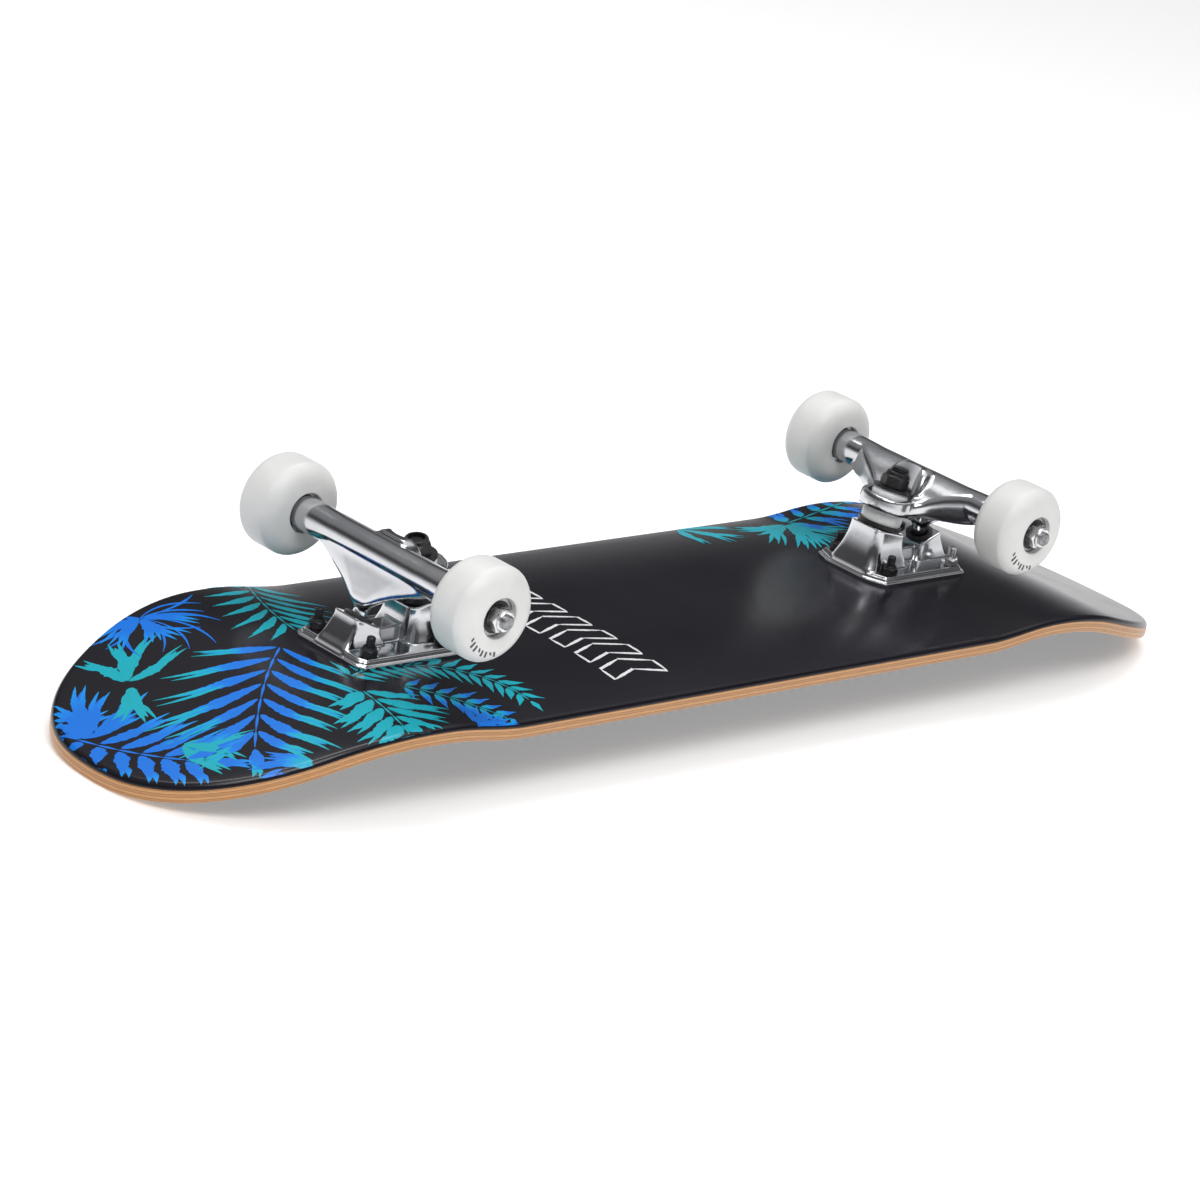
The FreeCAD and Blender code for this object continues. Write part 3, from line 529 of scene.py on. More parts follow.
def leaflet(start, end, width, hues, bend=0.06, splits=2):
    """A leaflet as the brush left it: a full body, and slivers that part from it towards the tip."""
    b = Vector(end)
    a = Vector(start) + (b - Vector(start)).normalized() * 1.8
    run = b - a
    side = Vector((-run.y, run.x)).normalized()
    stroke(a, a + run * 0.86, width, hues, bend)
    for i in range(splits):
        sway = (i - (splits - 1) / 2) * width * 0.62
        begin = a + run * inks.uniform(0.38, 0.5) + side * (sway * 0.5 + bend * run.length)
        finish = a + run * inks.uniform(0.94, 1.04) + side * sway * inks.uniform(0.8, 1.3)
        stroke(begin, finish, width * inks.uniform(0.3, 0.42), (hues[1], max(0.0, hues[1] - 0.35)), 0.03)


def towards_angle(degrees, length):
    """A plan step in mm. 0 degrees is towards the nose, 90 towards the far rail."""
    return Vector((math.cos(math.radians(degrees)), math.sin(math.radians(degrees)))) * length


def palm(root, heading, length, width, hues, pairs=7, bend=20, reach=0.5, splits=2):
    """A frond: a stem that turns by bend degrees, with leaflets in pairs that shorten towards its tip."""
    here, step = root.copy(), length / pairs
    for i in range(pairs):
        grown = i / pairs
        turn = heading + bend * grown
        for side in (1, -1):
            swell = 0.72 + 0.5 * math.sin(math.pi * (0.2 + 0.8 * grown))
            long = length * reach * swell * inks.uniform(0.85, 1.1)
            tip = here + towards_angle(turn + side * (64 - 20 * grown), long)
            leaflet(here, tip, width * inks.uniform(0.85, 1.15), hues, -0.06 * side, splits)
        there = here + towards_angle(turn, step)
        stroke(here, there, 1.5, (hues[0], hues[0]), 0.0, blunt=0.6)
        here = there
    leaflet(here, here + towards_angle(heading + bend, length * reach * 0.7), width, hues, 0.04, splits)


def fan(root, heading, spread, count, reach, width, hues, splits=2):
    """Leaves from one node, spread over an angle."""
    for i in range(count):
        turn = heading + spread * ((i + 0.5) / count - 0.5) + inks.uniform(-4, 4)
        leaf = towards_angle(turn, reach * inks.uniform(0.75, 1.1))
        leaflet(root, root + leaf, width * inks.uniform(0.8, 1.15), hues, inks.choice((-0.08, 0.08)), splits)


def flower(root, heading, reach, hues):
    """Thin hooked filaments all round, over a few broad petals."""
    fan(root, heading, 170, 5, reach * 0.8, 8, hues, 3)
    for i in range(16):
        tip = root + towards_angle(heading - 130 + 17 * i, reach * inks.uniform(0.8, 1.3))
        stroke(root, tip, inks.uniform(1.4, 2.4), hues, inks.uniform(-0.2, 0.2), blunt=0.5, widest=0.7)


def spot(truck, outwards, across):
    """A plan place: outwards runs from the truck, 0, to that end's tip, 1, and across from rail to rail."""
    near, tip = truck_x[truck] / mm, (deck_high.x if truck == "nose" else deck_low.x) / mm
    return Vector((near + (tip - near) * outwards, across * half_width / mm))


azure, turquoise, fading, tipped = (1.0, 0.75), (0.0, 0.12), (1.0, 0.3), (0.1, 0.9)
# The tail is covered from the truck to its tip, azure down the middle and turquoise towards the rails.
palm(spot("tail", 0.30, 0.15), 218, 100, 7.5, fading, 7, 14, 0.52)
palm(spot("tail", 0.98, 0.30), 285, 84, 8.0, azure, 7, 20, 0.40)
fan(spot("tail", 0.93, 0.15), 75, 130, 6, 48, 9.5, azure)
fan(spot("tail", 0.72, 0.40), 50, 120, 4, 44, 7.5, turquoise)
fan(spot("tail", 0.72, 0.36), 235, 60, 2, 42, 7.5, turquoise)
fan(spot("tail", 0.80, -0.25), 300, 80, 4, 36, 7.0, turquoise)
flower(spot("tail", 0.50, 0.85), 245, 38, azure)
palm(spot("tail", 0.05, 0.98), 240, 70, 5.5, turquoise, 7, 25, 0.50, 1)
palm(spot("tail", 0.28, -0.48), 262, 50, 9.0, turquoise, 5, -12, 0.62)
palm(spot("tail", 0.24, -0.30), 20, 112, 4.6, turquoise, 15, -112, 0.16, 1)
palm(spot("tail", 0.14, -0.50), 312, 56, 5.0, tipped, 7, -10, 0.30, 1)
fan(spot("tail", 0.62, -0.90), 150, 90, 4, 34, 7.0, tipped)
fan(spot("tail", 0.10, -0.98), 20, 120, 4, 28, 6.5, azure, 3)
# At the nose there is one spray only, on the far rail.
fan(spot("nose", -0.06, 0.78), 250, 170, 8, 46, 8.0, turquoise, 3)
palm(spot("nose", -0.04, 0.80), 8, 66, 9.0, tipped, 4, 10, 0.42, 3)
fan(spot("nose", -0.42, 0.98), 300, 110, 4, 44, 7.0, turquoise)

leaves = strokes[0]
leaves.name = "print_leaves"
only(*strokes)
bpy.ops.object.join()
thick = leaves.modifiers.new("ink", "SOLIDIFY")
thick.thickness, thick.offset = 0.09 * mm, -1
bpy.ops.object.modifier_apply(modifier=thick.name)

ink, nodes, links, shader = new_material("leaf inks")
hue = nodes.new("ShaderNodeAttribute")
hue.attribute_name = "hue"
dry = nodes.new("ShaderNodeTexNoise")
dry.inputs["Scale"].default_value = 1.0
dry.inputs["Detail"].default_value = 4
brush = nodes.new("ShaderNodeMapping")
brush.inputs["Scale"].default_value = (2.5, 11, 1)
own = nodes.new("ShaderNodeUVMap")
shifted = nodes.new("ShaderNodeMath")
shifted.operation = "MULTIPLY_ADD"
shifted.inputs[1].default_value = 0.55
colours = ramp(nodes, [(0.22, (0.0, 0.38, 0.44)), (0.50, (0.0, 0.42, 0.56)), (0.78, (0.0, 0.26, 0.80)),
                       (1.0, (0.0, 0.17, 0.72))])
links.new(own.outputs["UV"], brush.inputs["Vector"])
links.new(brush.outputs["Vector"], dry.inputs["Vector"])
links.new(dry.outputs["Fac"], shifted.inputs[0])
links.new(hue.outputs["Fac"], shifted.inputs[2])
links.new(shifted.outputs[0], colours.inputs["Fac"])
links.new(colours.outputs["Color"], shader.inputs["Base Color"])
add_handling(nodes, links, shader, 0.3, 0.14, 60)
shader.inputs["Specular IOR Level"].default_value = 0.42
leaves.data.materials.append(ink)
smooth(leaves, 60)

# The chevrons: outlines only, in white.
strokes = []
chevron_pitch, chevron_wide, chevron_long, point_offset = 20.0, 12.0, 40.0, 7.0
chevron_middle, chevron_count, rail_width = -88.0, 8, 2.0
low_x, high_x = chevron_middle - chevron_long / 2, chevron_middle + chevron_long / 2
for i in range(chevron_count):
    y = (i - (chevron_count - 1) / 2) * chevron_pitch - chevron_wide / 2
    corners = [(low_x, y), (chevron_middle, y + point_offset), (high_x, y), (high_x, y + chevron_wide),
               (chevron_middle, y + point_offset + chevron_wide), (low_x, y + chevron_wide)]
    for a, b in zip(corners, corners[1:] + corners[:1]):
        stroke(a, b, rail_width, (0, 0), 0.0, blunt=1.9, widest=0.5)
outlines = strokes[0]
outlines.name = "print_chevrons"
only(*strokes)
bpy.ops.object.join()
thick = outlines.modifiers.new("ink", "SOLIDIFY")
thick.thickness, thick.offset = 0.09 * mm, -1
bpy.ops.object.modifier_apply(modifier=thick.name)
white, nodes, links, shader = new_material("white ink")
place = nodes.new("ShaderNodeTexCoord")
cover = nodes.new("ShaderNodeTexNoise")
cover.inputs["Scale"].default_value = 900
tone = ramp(nodes, [(0.3, (0.66, 0.67, 0.70)), (0.6, (0.86, 0.87, 0.88))])
links.new(place.outputs["Object"], cover.inputs["Vector"])
links.new(cover.outputs["Fac"], tone.inputs["Fac"])
links.new(tone.outputs["Color"], shader.inputs["Base Color"])
add_handling(nodes, links, shader, 0.3, 0.14, 60)
outlines.data.materials.append(white)

for piece in (leaves, outlines):
    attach(piece, "board")


# ---- Grip tape -------------------------------------------------------------------------------------------
# One die-cut sheet of silicon-carbide grit on a self-adhesive cloth, underneath as the board lies.
grit, nodes, links, shader = new_material("grip tape")
place = nodes.new("ShaderNodeTexCoord")
grains = nodes.new("ShaderNodeTexVoronoi")
grains.inputs["Scale"].default_value = 1600
# Each grain is painted lighter at its centre, a painted glint on the grit tips, fading to the tape's black
# between the grains.
grit_painted_glint = ramp(nodes, [(0.0, (0.055, 0.055, 0.058)), (0.35, (0.012, 0.012, 0.013))])
relief = nodes.new("ShaderNodeBump")
relief.invert = True
relief.inputs["Strength"].default_value = 0.9
relief.inputs["Distance"].default_value = 0.25 * mm
links.new(place.outputs["Object"], grains.inputs["Vector"])
links.new(grains.outputs["Distance"], grit_painted_glint.inputs["Fac"])
links.new(grit_painted_glint.outputs["Color"], shader.inputs["Base Color"])
links.new(grains.outputs["Distance"], relief.inputs["Height"])
links.new(relief.outputs["Normal"], shader.inputs["Normal"])
shader.inputs["Roughness"].default_value = 0.82


def finish_node(name, material):
    """Gives a CAD node, whose shape is right, this material."""
    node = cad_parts[name]
    node.data.materials.clear()
    node.data.materials.append(material)


finish_node("grip_tape", grit)


# ---- Trucks: shared places -------------------------------------------------------------------------------
# Both trucks are the same parts turned to face each other. Each piece is made once at the nose, in places
# measured outwards along the board (u), across it and up from the printed face, and copied to the tail.
to_tail = Matrix.Translation((truck_x["nose"] + truck_x["tail"], 0, 0)) @ Matrix.Rotation(math.pi, 4, "Z")


def at(u, across, up):
    return Vector((truck_x["nose"] + u * mm, across * mm, print_height + up * mm))


def leaning(degrees):
    return Vector((math.sin(math.radians(degrees)), 0, math.cos(math.radians(degrees))))


kingpin_axis, cup_axis = leaning(12.5), leaning(-20)
seat = at(-20.3, 0, 26.6)           # of the bottom cup washer on the pedestal
mouth = at(19, 0, 18)               # of the pivot cup
axle_line = at(9.4, 0, 52)


def eased(stations):
    """The stations with three more on a smooth curve between each two."""
    points = [np.array(p, float) for p in [stations[0], *stations, stations[-1]]]
    found = [points[1]]
    for a, b, c, d in zip(points, points[1:], points[2:], points[3:]):
        for t in (0.25, 0.5, 0.75, 1.0):
            found.append(0.5 * (2 * b + (c - a) * t + (2 * a - 5 * b + 4 * c - d) * t ** 2
                                + (3 * b - a - 3 * c + d) * t ** 3))
    return found


def limb(stations, corner, lying=False):
    """A closed bar drawn out of a rounded plate through (u, up, half length or height, half width)."""
    stations = eased(stations)
    u, up, long, wide = stations[0]
    here = at(u, 0, up)
    bpy.ops.object.select_all(action="DESELECT")
    bpy.ops.mesh.primitive_plane_add(size=2 * mm, location=here, rotation=(0, math.pi / 2 if lying else 0, 0))
    made = bpy.context.object
    bpy.ops.object.transform_apply(location=True, rotation=True)
    bpy.ops.object.mode_set(mode="EDIT")
    bpy.ops.mesh.select_all(action="SELECT")
    bpy.ops.transform.resize(value=(1, wide, long) if lying else (long, wide, 1), center_override=here)
    bpy.ops.mesh.bevel(affect="VERTICES", offset=corner * mm, segments=4)
    for next_u, next_up, next_long, next_wide in stations[1:]:
        there = at(next_u, 0, next_up)
        grow_long, grow_wide = next_long / long, next_wide / wide
        bpy.ops.mesh.extrude_region_move(TRANSFORM_OT_translate={"value": there - here})
        bpy.ops.transform.resize(value=(1, grow_wide, grow_long) if lying else (grow_long, grow_wide, 1),
                                 center_override=there)
        here, long, wide = there, next_long, next_wide
    bpy.ops.mesh.select_all(action="SELECT")
    bpy.ops.mesh.normals_make_consistent(inside=False)
    bpy.ops.object.mode_set(mode="OBJECT")
    return made


def trimmed(piece, *planes):
    """Cuts off and caps what lies beyond each (point, outward normal) plane."""
    only(piece)
    bpy.ops.object.mode_set(mode="EDIT")
    for point, outwards in planes:
        bpy.ops.mesh.select_all(action="SELECT")
        bpy.ops.mesh.bisect(plane_co=point, plane_no=outwards, use_fill=True, clear_outer=True)
    bpy.ops.object.mode_set(mode="OBJECT")
    return piece


def cast(name, parts, grain, rounds):
    """Parts run together into one casting, with the soft fillets and edges that polishing leaves."""
    only(*parts)
    bpy.ops.object.join()
    made = bpy.context.object
    made.name = name
    made.data.remesh_voxel_size = grain * mm
    bpy.ops.object.voxel_remesh()
    soften = made.modifiers.new("polish", "SMOOTH")
    soften.factor, soften.iterations = 0.6, rounds
    bpy.ops.object.modifier_apply(modifier=soften.name)
    return made


def pair(piece, part, body, material, angle=35, stands_for=None):
    """Finishes a nose truck piece and its copy at the tail. Body is "board" or "hanger"."""
    piece.data.materials.clear()
    piece.data.materials.append(material)
    smooth(piece, angle)
    twins = {"nose": piece, "tail": copied(piece, "tail_" + part, to_tail)}
    for truck, twin in twins.items():
        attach(twin, "board" if body == "board" else truck + "_hanger_assembly")
        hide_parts(truck + "_" + (stands_for or part.replace("_cast", "")))
    return twins


# Polished aluminium, for both castings: bright, with buffing lines and a slight waviness from the mould.
polished, nodes, links, shader = new_material("polished aluminium")
place = nodes.new("ShaderNodeTexCoord")
waves, tarnish = nodes.new("ShaderNodeTexNoise"), nodes.new("ShaderNodeTexNoise")
waves.inputs["Scale"].default_value = 70
tarnish.inputs["Scale"].default_value = 30
tarnish.inputs["Detail"].default_value = 5
tone = ramp(nodes, [(0.3, (0.54, 0.55, 0.57)), (0.7, (0.70, 0.705, 0.72))])
relief = nodes.new("ShaderNodeBump")
relief.inputs["Strength"].default_value = 0.16
relief.inputs["Distance"].default_value = 0.5 * mm
links.new(place.outputs["Object"], waves.inputs["Vector"])
links.new(place.outputs["Object"], tarnish.inputs["Vector"])
links.new(tarnish.outputs["Fac"], tone.inputs["Fac"])
links.new(tone.outputs["Color"], shader.inputs["Base Color"])
links.new(waves.outputs["Fac"], relief.inputs["Height"])
links.new(relief.outputs["Normal"], shader.inputs["Normal"])
add_handling(nodes, links, shader, 0.09, 0.24, 220)
shader.inputs["Metallic"].default_value = 1.0


# ---- Baseplates ------------------------------------------------------------------------------------------
# One aluminium casting each: a stepped foot held down by four bolts, a flared pedestal under the kingpin and
# a housing for the pivot cup, with a low web between them.
foot_inner, foot_outer, foot_half_width = -41, 37, 27.5
inner_chamfer, outer_chamfer = (5, 11), (3, 4)


def foot_layer(low, high, inset):
    inner, outer, wide = foot_inner + inset, foot_outer - inset, foot_half_width - inset
    bpy.ops.object.select_all(action="DESELECT")
    bpy.ops.mesh.primitive_cube_add(size=1, location=at((inner + outer) / 2, 0, (low + high) / 2))
    layer = bpy.context.object
    layer.scale = ((outer - inner) * mm, 2 * wide * mm, (high - low) * mm)
    bpy.ops.object.transform_apply(location=True, scale=True)
    corners = []
    for side in (-1, 1):
        for u, (along, across), end in ((inner, inner_chamfer, -1), (outer, outer_chamfer, 1)):
            corners.append((at(u, side * (wide - across), 0),
                            Vector((end * across, side * along, 0)).normalized()))
    return trimmed(layer, *corners)


foot = [foot_layer(-2.5, 2.2, 0), foot_layer(-2, 4.0, 1.5), foot_layer(-2, 5.2, 2.4)]
pedestal = limb([(-22, 1, 18.4, 18.2), (-22, 5, 17.6, 17.4), (-21.9, 8, 16.4, 16.4), (-21.7, 13, 14.6, 14.6),
                 (-21.3, 19, 13.2, 13.2), (-20.6, 25, 12.7, 12.7), (-20.0, 30, 12.7, 12.7)], 6.5)
housing = limb([(21.2, 1, 15.4, 13.0), (21.2, 5, 14.4, 12.2), (20.8, 9, 12.2, 11.0), (20.2, 14, 10.3, 10.1),
                (19.4, 18, 9.4, 9.4), (18.6, 22, 9.4, 9.4)], 3.2)
web = limb([(0, 1, 16, 11), (0, 6, 15, 8.6), (0, 10, 14.5, 7.2), (0, 13.2, 14, 6.2)], 2.5)
trimmed(pedestal, (seat, kingpin_axis))
trimmed(housing, (mouth, cup_axis))
plate = cast("nose_baseplate_cast", foot + [pedestal, housing, web], 0.55, 10)
trimmed(plate, (at(0, 0, 0), Vector((0, 0, -1))))
kingpin_bore, kingpin_head_room, cup_bore, bolt_bore, nut_room = 4.8, 6.5, 7.1, 2.75, 5.6
drills = [turned("drill", [(0, -20), (kingpin_bore, -20), (kingpin_bore, 4), (0, 4)], seat, kingpin_axis, 40),
          turned("drill", [(0, -30), (kingpin_head_room, -30), (kingpin_head_room, -17), (0, -17)], seat,
                 kingpin_axis, 40),
          turned("drill", [(0, -11.2), (5, -11.2), (cup_bore, -9), (cup_bore, 5), (0, 5)], mouth,
                 cup_axis, 40)]
for sx in (-1, 1):
    for sy in (-1, 1):
        drills.append(turned("drill", [(0, -5), (bolt_bore, -5), (bolt_bore, 5), (nut_room, 5),
                                       (nut_room + 0.3, 30), (0, 30)],
                             at(sx * bolt_pitch[0] / 2 / mm, sy * bolt_pitch[1] / 2 / mm, 0), steps=32))
cut(plate, *drills)
pair(plate, "baseplate_cast", "board", polished, 40)


# ---- Hangers ---------------------------------------------------------------------------------------------
# One aluminium casting each, poured round the axle: a tube across, a wide fin down to the pivot ball, a
# ring for the bushings, and blade-like arms that run from the ring out to the tube.
pivot_depth, pivot_radius, neck_radius, axle_radius = 4.5, 5, 4.1, 3.97
collar, waist = 9.6, 8.9            # radii of the tube
tube = turned("tube", [(0, -70), (collar, -70), (collar, -52), (waist, -34), (waist, 34), (collar, 52),
                       (collar, 70), (0, 70)], axle_line, (0, 1, 0))
fin = limb([(17.6, 23.2, 3.4, 3.8), (17.2, 25.6, 4.4, 6.2), (16.8, 28.5, 5.0, 9.8), (16.0, 32.5, 5.0, 16.0),
            (15.0, 37, 5.0, 24.5), (13.6, 41.5, 5.4, 34.5), (11.8, 46, 6.2, 45.0), (9.8, 50, 7.6, 54.0)], 2.0)
pivot = mouth - cup_axis * pivot_depth * mm
neck = turned("neck", [(0, 0), (neck_radius, 0), (neck_radius, 12), (0, 12)], pivot, cup_axis)
ball = turned("ball", [(pivot_radius * math.sin(a), -pivot_radius * math.cos(a))
                       for a in np.linspace(0, math.pi, 17)], pivot, cup_axis)
eye = turned("eye", [(0, 10.4), (16.4, 10.4), (16.9, 14.5), (16.4, 18.7), (0, 18.7)], seat, kingpin_axis)
lip = turned("lip", [(0, 12), (16.8, 12), (16.8, 26), (0, 26)], seat, kingpin_axis)
trimmed(lip, (seat + kingpin_axis * 20.5 * mm, (kingpin_axis * 5 - Vector((1, 0, 0))).normalized()))
hood = limb([(-4.0, 39, 7.5, 15.5), (-3.0, 45, 7.0, 15.0), (-1.8, 51, 6.4, 14.6), (-0.2, 56.5, 5.6, 13.6),
             (1.2, 60.4, 4.6, 11.8), (2.2, 62.8, 3.4, 8.5)], 3.0)
arms = limb([(-19, 40.2, 3.9, 16.0), (-14, 41.2, 4.2, 17.8), (-9.5, 42.8, 5.0, 22.0),
             (-6, 44.6, 6.2, 28.5), (-2.5, 46.8, 7.6, 37.0), (1.5, 49.2, 8.8, 46.5),
             (5.5, 51.0, 9.4, 52.5), (9.4, 51.6, 8.8, 55.0)], 2.6, lying=True)
gusset = limb([(17.0, 26.8, 2.8, 3.6), (10, 33, 7.0, 4.4), (4, 38, 8.0, 5.4), (-4, 41.5, 5.5, 7.5)], 2.0,
              lying=True)
hanger = cast("nose_hanger_cast", [tube, fin, neck, ball, eye, lip, hood, arms, gusset], 0.7, 8)
half_span, ring_bore, bushing_seat, scoop = 63.5, 6.6, 8.8, 13.4
trimmed(hanger, (at(0, half_span, 0), Vector((0, 1, 0))), (at(0, -half_span, 0), Vector((0, -1, 0))))
cut(hanger,
    turned("drill", [(0, 5), (bushing_seat, 5), (bushing_seat, 12.1), (ring_bore, 12.1), (ring_bore, 16.9),
                     (bushing_seat, 16.9), (bushing_seat, 18.5), (scoop, 18.5), (scoop + 0.4, 60), (0, 60)],
           seat, kingpin_axis),
    turned("drill", [(0, 1), (15, 1), (17.5, 10.5), (0, 10.5)], seat, kingpin_axis),
    turned("drill", [(0, -80), (axle_radius, -80), (axle_radius, 80), (0, 80)], axle_line, (0, 1, 0), 40))
pair(hanger, "hanger_cast", "hanger", polished, 40)


# ---- Bushings --------------------------------------------------------------------------------------------
# Cast urethane barrels, cloudy white, squeezed either side of the hanger's ring.
urethane_soft, nodes, links, shader = new_material("bushing urethane")
place = nodes.new("ShaderNodeTexCoord")
cloud = nodes.new("ShaderNodeTexNoise")
cloud.inputs["Scale"].default_value = 160
tone = ramp(nodes, [(0.3, (0.74, 0.76, 0.76)), (0.7, (0.86, 0.87, 0.86))])
links.new(place.outputs["Object"], cloud.inputs["Vector"])
links.new(cloud.outputs["Fac"], tone.inputs["Fac"])
links.new(tone.outputs["Color"], shader.inputs["Base Color"])
add_handling(nodes, links, shader, 0.24, 0.15, 90)
shader.inputs["Subsurface Weight"].default_value = 0.5
shader.inputs["Subsurface Radius"].default_value = (1.0, 1.0, 1.0)
shader.inputs["Subsurface Scale"].default_value = 2 * mm


def bushing(part, low, high, widths, neck_end):
    """A barrel from low to high along the kingpin, its widths evenly spaced, with a neck in the ring."""
    bore, neck = 4.8, 8.7
    barrel = list(zip(widths, np.linspace(low, high, len(widths))))
    inner = [(bore, h) for h in np.linspace(high, low, 6)]
    if neck_end > high:
        profile = barrel + [(neck, high), (neck, neck_end), (bore, neck_end)] + inner
    else:
        profile = [(bore, neck_end), (neck, neck_end), (neck, low)] + barrel + inner
    made = turned("nose_" + part + "_soft", profile, seat, kingpin_axis)
    made.data.materials.append(urethane_soft)
    smooth(made, 50)
    fixed, moving = (low, high) if neck_end > high else (high, low)
    for truck, twin in (("nose", made), ("tail", copied(made, "tail_" + part + "_soft", to_tail))):
        ends = [seat + kingpin_axis * h * mm for h in (fixed, moving)]
        if truck == "tail":
            ends = [to_tail @ p for p in ends]
        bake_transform(twin)
        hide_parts(truck + "_" + part)


bushing("bottom_bushing", 1.5, 10.5, (11.0, 11.7, 12.1, 12.2, 12.3, 12.2, 12.0, 11.3), 12.1)
bushing("top_bushing", 18.5, 22.8, (10.6, 11.0, 11.0, 10.7, 10.2, 9.6), 16.9)


# ---- Wheels ----------------------------------------------------------------------------------------------
# Cast white urethane: a flat tread, cheeks that curve down to it, a bearing pressed into each face, and a row
# of dark printed ticks on the outer cheek.
urethane, nodes, links, shader = new_material("wheel urethane")
place = nodes.new("ShaderNodeTexCoord")
cloud, dust = nodes.new("ShaderNodeTexNoise"), nodes.new("ShaderNodeTexNoise")
cloud.inputs["Scale"].default_value = 45
dust.inputs["Scale"].default_value = 700
tone = ramp(nodes, [(0.3, (0.73, 0.73, 0.71)), (0.7, (0.80, 0.80, 0.785))])
relief = nodes.new("ShaderNodeBump")
relief.inputs["Strength"].default_value = 0.12
relief.inputs["Distance"].default_value = 0.1 * mm
links.new(place.outputs["Object"], cloud.inputs["Vector"])
links.new(place.outputs["Object"], dust.inputs["Vector"])
links.new(cloud.outputs["Fac"], tone.inputs["Fac"])
links.new(tone.outputs["Color"], shader.inputs["Base Color"])
links.new(dust.outputs["Fac"], relief.inputs["Height"])
links.new(relief.outputs["Normal"], shader.inputs["Normal"])
add_handling(nodes, links, shader, 0.36, 0.2, 50)
shader.inputs["Subsurface Weight"].default_value = 0.15
shader.inputs["Subsurface Radius"].default_value = (1.0, 0.95, 0.9)
shader.inputs["Subsurface Scale"].default_value = 1.5 * mm

tick_ink, nodes, links, shader = new_material("tick ink")
place = nodes.new("ShaderNodeTexCoord")
cover = nodes.new("ShaderNodeTexNoise")
cover.inputs["Scale"].default_value = 1500
tone = ramp(nodes, [(0.35, (0.045, 0.045, 0.05)), (0.7, (0.11, 0.11, 0.115))])
links.new(place.outputs["Object"], cover.inputs["Vector"])
links.new(cover.outputs["Fac"], tone.inputs["Fac"])
links.new(tone.outputs["Color"], shader.inputs["Base Color"])
shader.inputs["Roughness"].default_value = 0.5

cheek_centre, cheek_radius = (16.5, 4.56), 10.44


def cheek(radius):
    return cheek_centre[1] + math.sqrt(cheek_radius ** 2 - max(0.0, radius - cheek_centre[0]) ** 2)


def wheel_profile():
    flat, cheek_end, bearing_seat, mouth_radius = cheek_centre[0], 25.8, 11.0, 11.2
    curve = [flat + (cheek_end - flat) * math.sin(a) for a in np.linspace(0, math.pi / 2, 12)]
    half = ([(9.0, 5.0), (bearing_seat, 5.0), (bearing_seat, 12.0), (mouth_radius, 12.1),
             (mouth_radius, 14.3), (11.35, 14.75), (11.7, 14.95), (12.2, 15.0)]
            + [(r, cheek(r)) for r in curve] + [(26.2, 8.6), (26.42, 7.8), (26.5, 7.0)])
    return half + [(r, -h) for r, h in half[::-1]]


def ticks(centre, outwards, turn):
    """Eight short slanted bars on the outer cheek, as one thin piece."""
    tick_count, pitch, inner, long_tick, ink_height = 8, 9, 18.3, 3.4, 0.03
    made = []
    for i in range(tick_count):
        bpy.ops.object.select_all(action="DESELECT")
        bpy.ops.mesh.primitive_grid_add(x_subdivisions=3, y_subdivisions=6, size=1)
        bar = bpy.context.object
        long = 1.0 if i % 3 else 0.55
        for v in bar.data.vertices:
            radius = inner + (v.co.y + 0.5) * long_tick * long
            a = turn + math.radians(pitch * i + 4.2 * v.co.x + 4 * v.co.y)
            v.co = centre + Vector((radius * math.cos(a), 0, radius * math.sin(a))) * mm
            v.co.y = centre.y + outwards * (cheek(radius) + ink_height) * mm
        made.append(bar)
    only(*made)
    bpy.ops.object.join()
    thick = bpy.context.object.modifiers.new("ink", "SOLIDIFY")
    thick.thickness, thick.offset = 0.05 * mm, 0
    bpy.ops.object.modifier_apply(modifier=thick.name)
    only(made[0])
    bpy.ops.object.mode_set(mode="EDIT")
    bpy.ops.mesh.select_all(action="SELECT")
    bpy.ops.mesh.normals_make_consistent(inside=False)
    bpy.ops.object.mode_set(mode="OBJECT")
    return made[0]


centres = {}
for truck in ("nose", "tail"):
    for side in ("left", "right"):
        low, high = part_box(truck + "_" + side + "_outer_races")
        centres[truck + "_" + side] = (low + high) / 2
first_wheel = turned("nose_left_wheel_cast", wheel_profile(), centres["nose_left"], (0, 1, 0), 112)
first_wheel.data.materials.append(urethane)
smooth(first_wheel, 38)
tyres = {"nose_left": first_wheel}
for corner in ("nose_right", "tail_left", "tail_right"):
    move = Matrix.Translation(centres[corner] - centres["nose_left"])
    tyres[corner] = copied(first_wheel, corner + "_wheel_cast", move)
for corner, tyre in tyres.items():
    outwards, turn = (-1, -150) if corner.endswith("left") else (1, 20)
    printing = ticks(centres[corner], outwards, math.radians(turn))
    printing.name = corner + "_wheel_ticks"
    printing.data.materials.append(tick_ink)
    for piece in (tyre, printing):
        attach(piece, corner + "_wheel_assembly")
    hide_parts(corner + "_wheel")


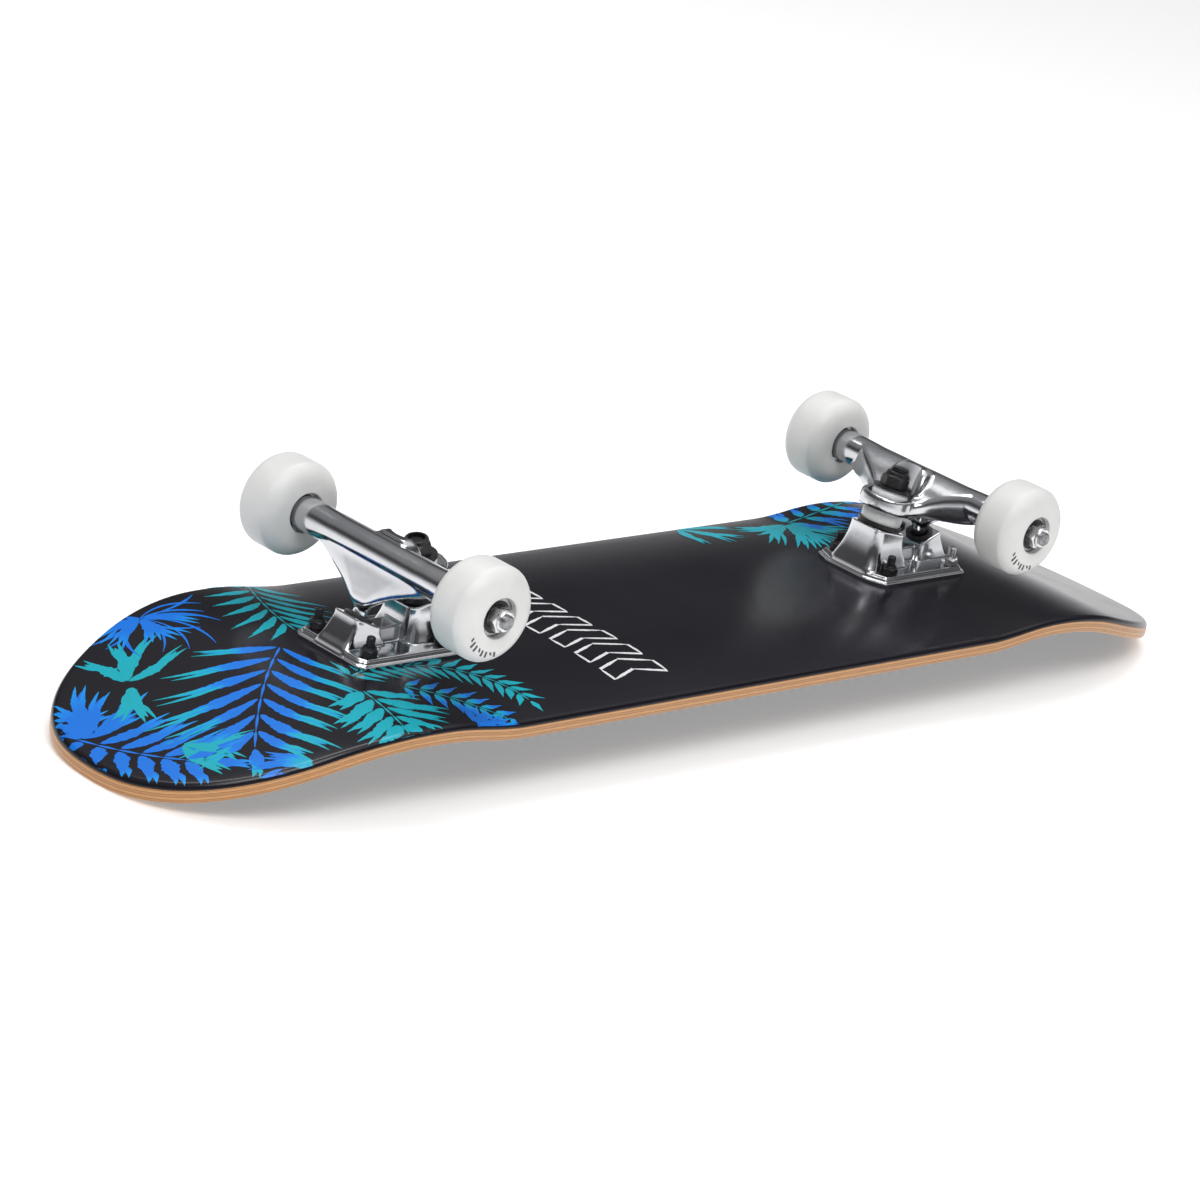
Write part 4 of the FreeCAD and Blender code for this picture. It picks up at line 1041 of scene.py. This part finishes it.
# ---- Steel hardware and bearings -------------------------------------------------------------------------
# Bolts, nuts, washers, kingpins, axles and bearings are bought in: turned and rolled steel, some zinc plated
# and some blackened, with rubber shields, nylon ball cages and a urethane pivot cup.
def plain_finish(name, dark, light, roughness, marks, metallic=0.0, grain=400, bump=0.0):
    """A finish that drifts between two tones, with handling marks."""
    made, nodes, links, shader = new_material(name)
    place = nodes.new("ShaderNodeTexCoord")
    drift = nodes.new("ShaderNodeTexNoise")
    drift.inputs["Scale"].default_value = grain
    drift.inputs["Detail"].default_value = 4
    tone = ramp(nodes, [(0.32, dark), (0.68, light)])
    links.new(place.outputs["Object"], drift.inputs["Vector"])
    links.new(drift.outputs["Fac"], tone.inputs["Fac"])
    links.new(tone.outputs["Color"], shader.inputs["Base Color"])
    add_handling(nodes, links, shader, roughness, marks, 300, bump)
    shader.inputs["Metallic"].default_value = metallic
    return made


black = plain_finish("black hardware", (0.012, 0.012, 0.013), (0.03, 0.03, 0.032), 0.32, 0.2, 0.4)
zinc = plain_finish("zinc plate", (0.62, 0.63, 0.64), (0.80, 0.80, 0.80), 0.2, 0.25, 1.0)
axle_steel = plain_finish("axle steel", (0.20, 0.20, 0.21), (0.36, 0.36, 0.37), 0.3, 0.3, 1.0)
# The bearing steel is painted a dark grey. This is painted shade for the races down in the wheels' recesses;
# the steel itself is bright.
race_steel_painted_dark = plain_finish("bearing steel painted dark", (0.24, 0.24, 0.25), (0.34, 0.34, 0.35), 0.2, 0.2, 1.0)
rubber = plain_finish("shield rubber", (0.012, 0.012, 0.012), (0.022, 0.022, 0.022), 0.5, 0.2)
nylon = plain_finish("cage nylon", (0.60, 0.52, 0.36), (0.72, 0.64, 0.47), 0.45, 0.2)
cup_urethane = plain_finish("pivot cup urethane", (0.014, 0.014, 0.015), (0.028, 0.028, 0.03), 0.45, 0.2)
for name, material in (("deck_bolts", black), ("deck_nuts", black),
                       ("marker_bolt", zinc), ("marker_nut", zinc)):
    finish_node(name, material)
for truck in ("nose", "tail"):
    for part, material in (("pivot_cup", cup_urethane), ("kingpin", black), ("kingpin_nut", black),
                           ("bottom_washer", black), ("top_washer", black), ("axle", axle_steel),
                           ("speed_washers", zinc), ("axle_nuts", zinc), ("inner_races", race_steel_painted_dark),
                           ("bearing_spacers", race_steel_painted_dark)):
        finish_node(truck + "_" + part, material)
    for side in ("left", "right"):
        for part, material in (("outer_races", race_steel_painted_dark), ("bearing_shields", rubber),
                               ("bearing_balls", race_steel_painted_dark), ("ball_cages", nylon)):
            finish_node(truck + "_" + side + "_" + part, material)
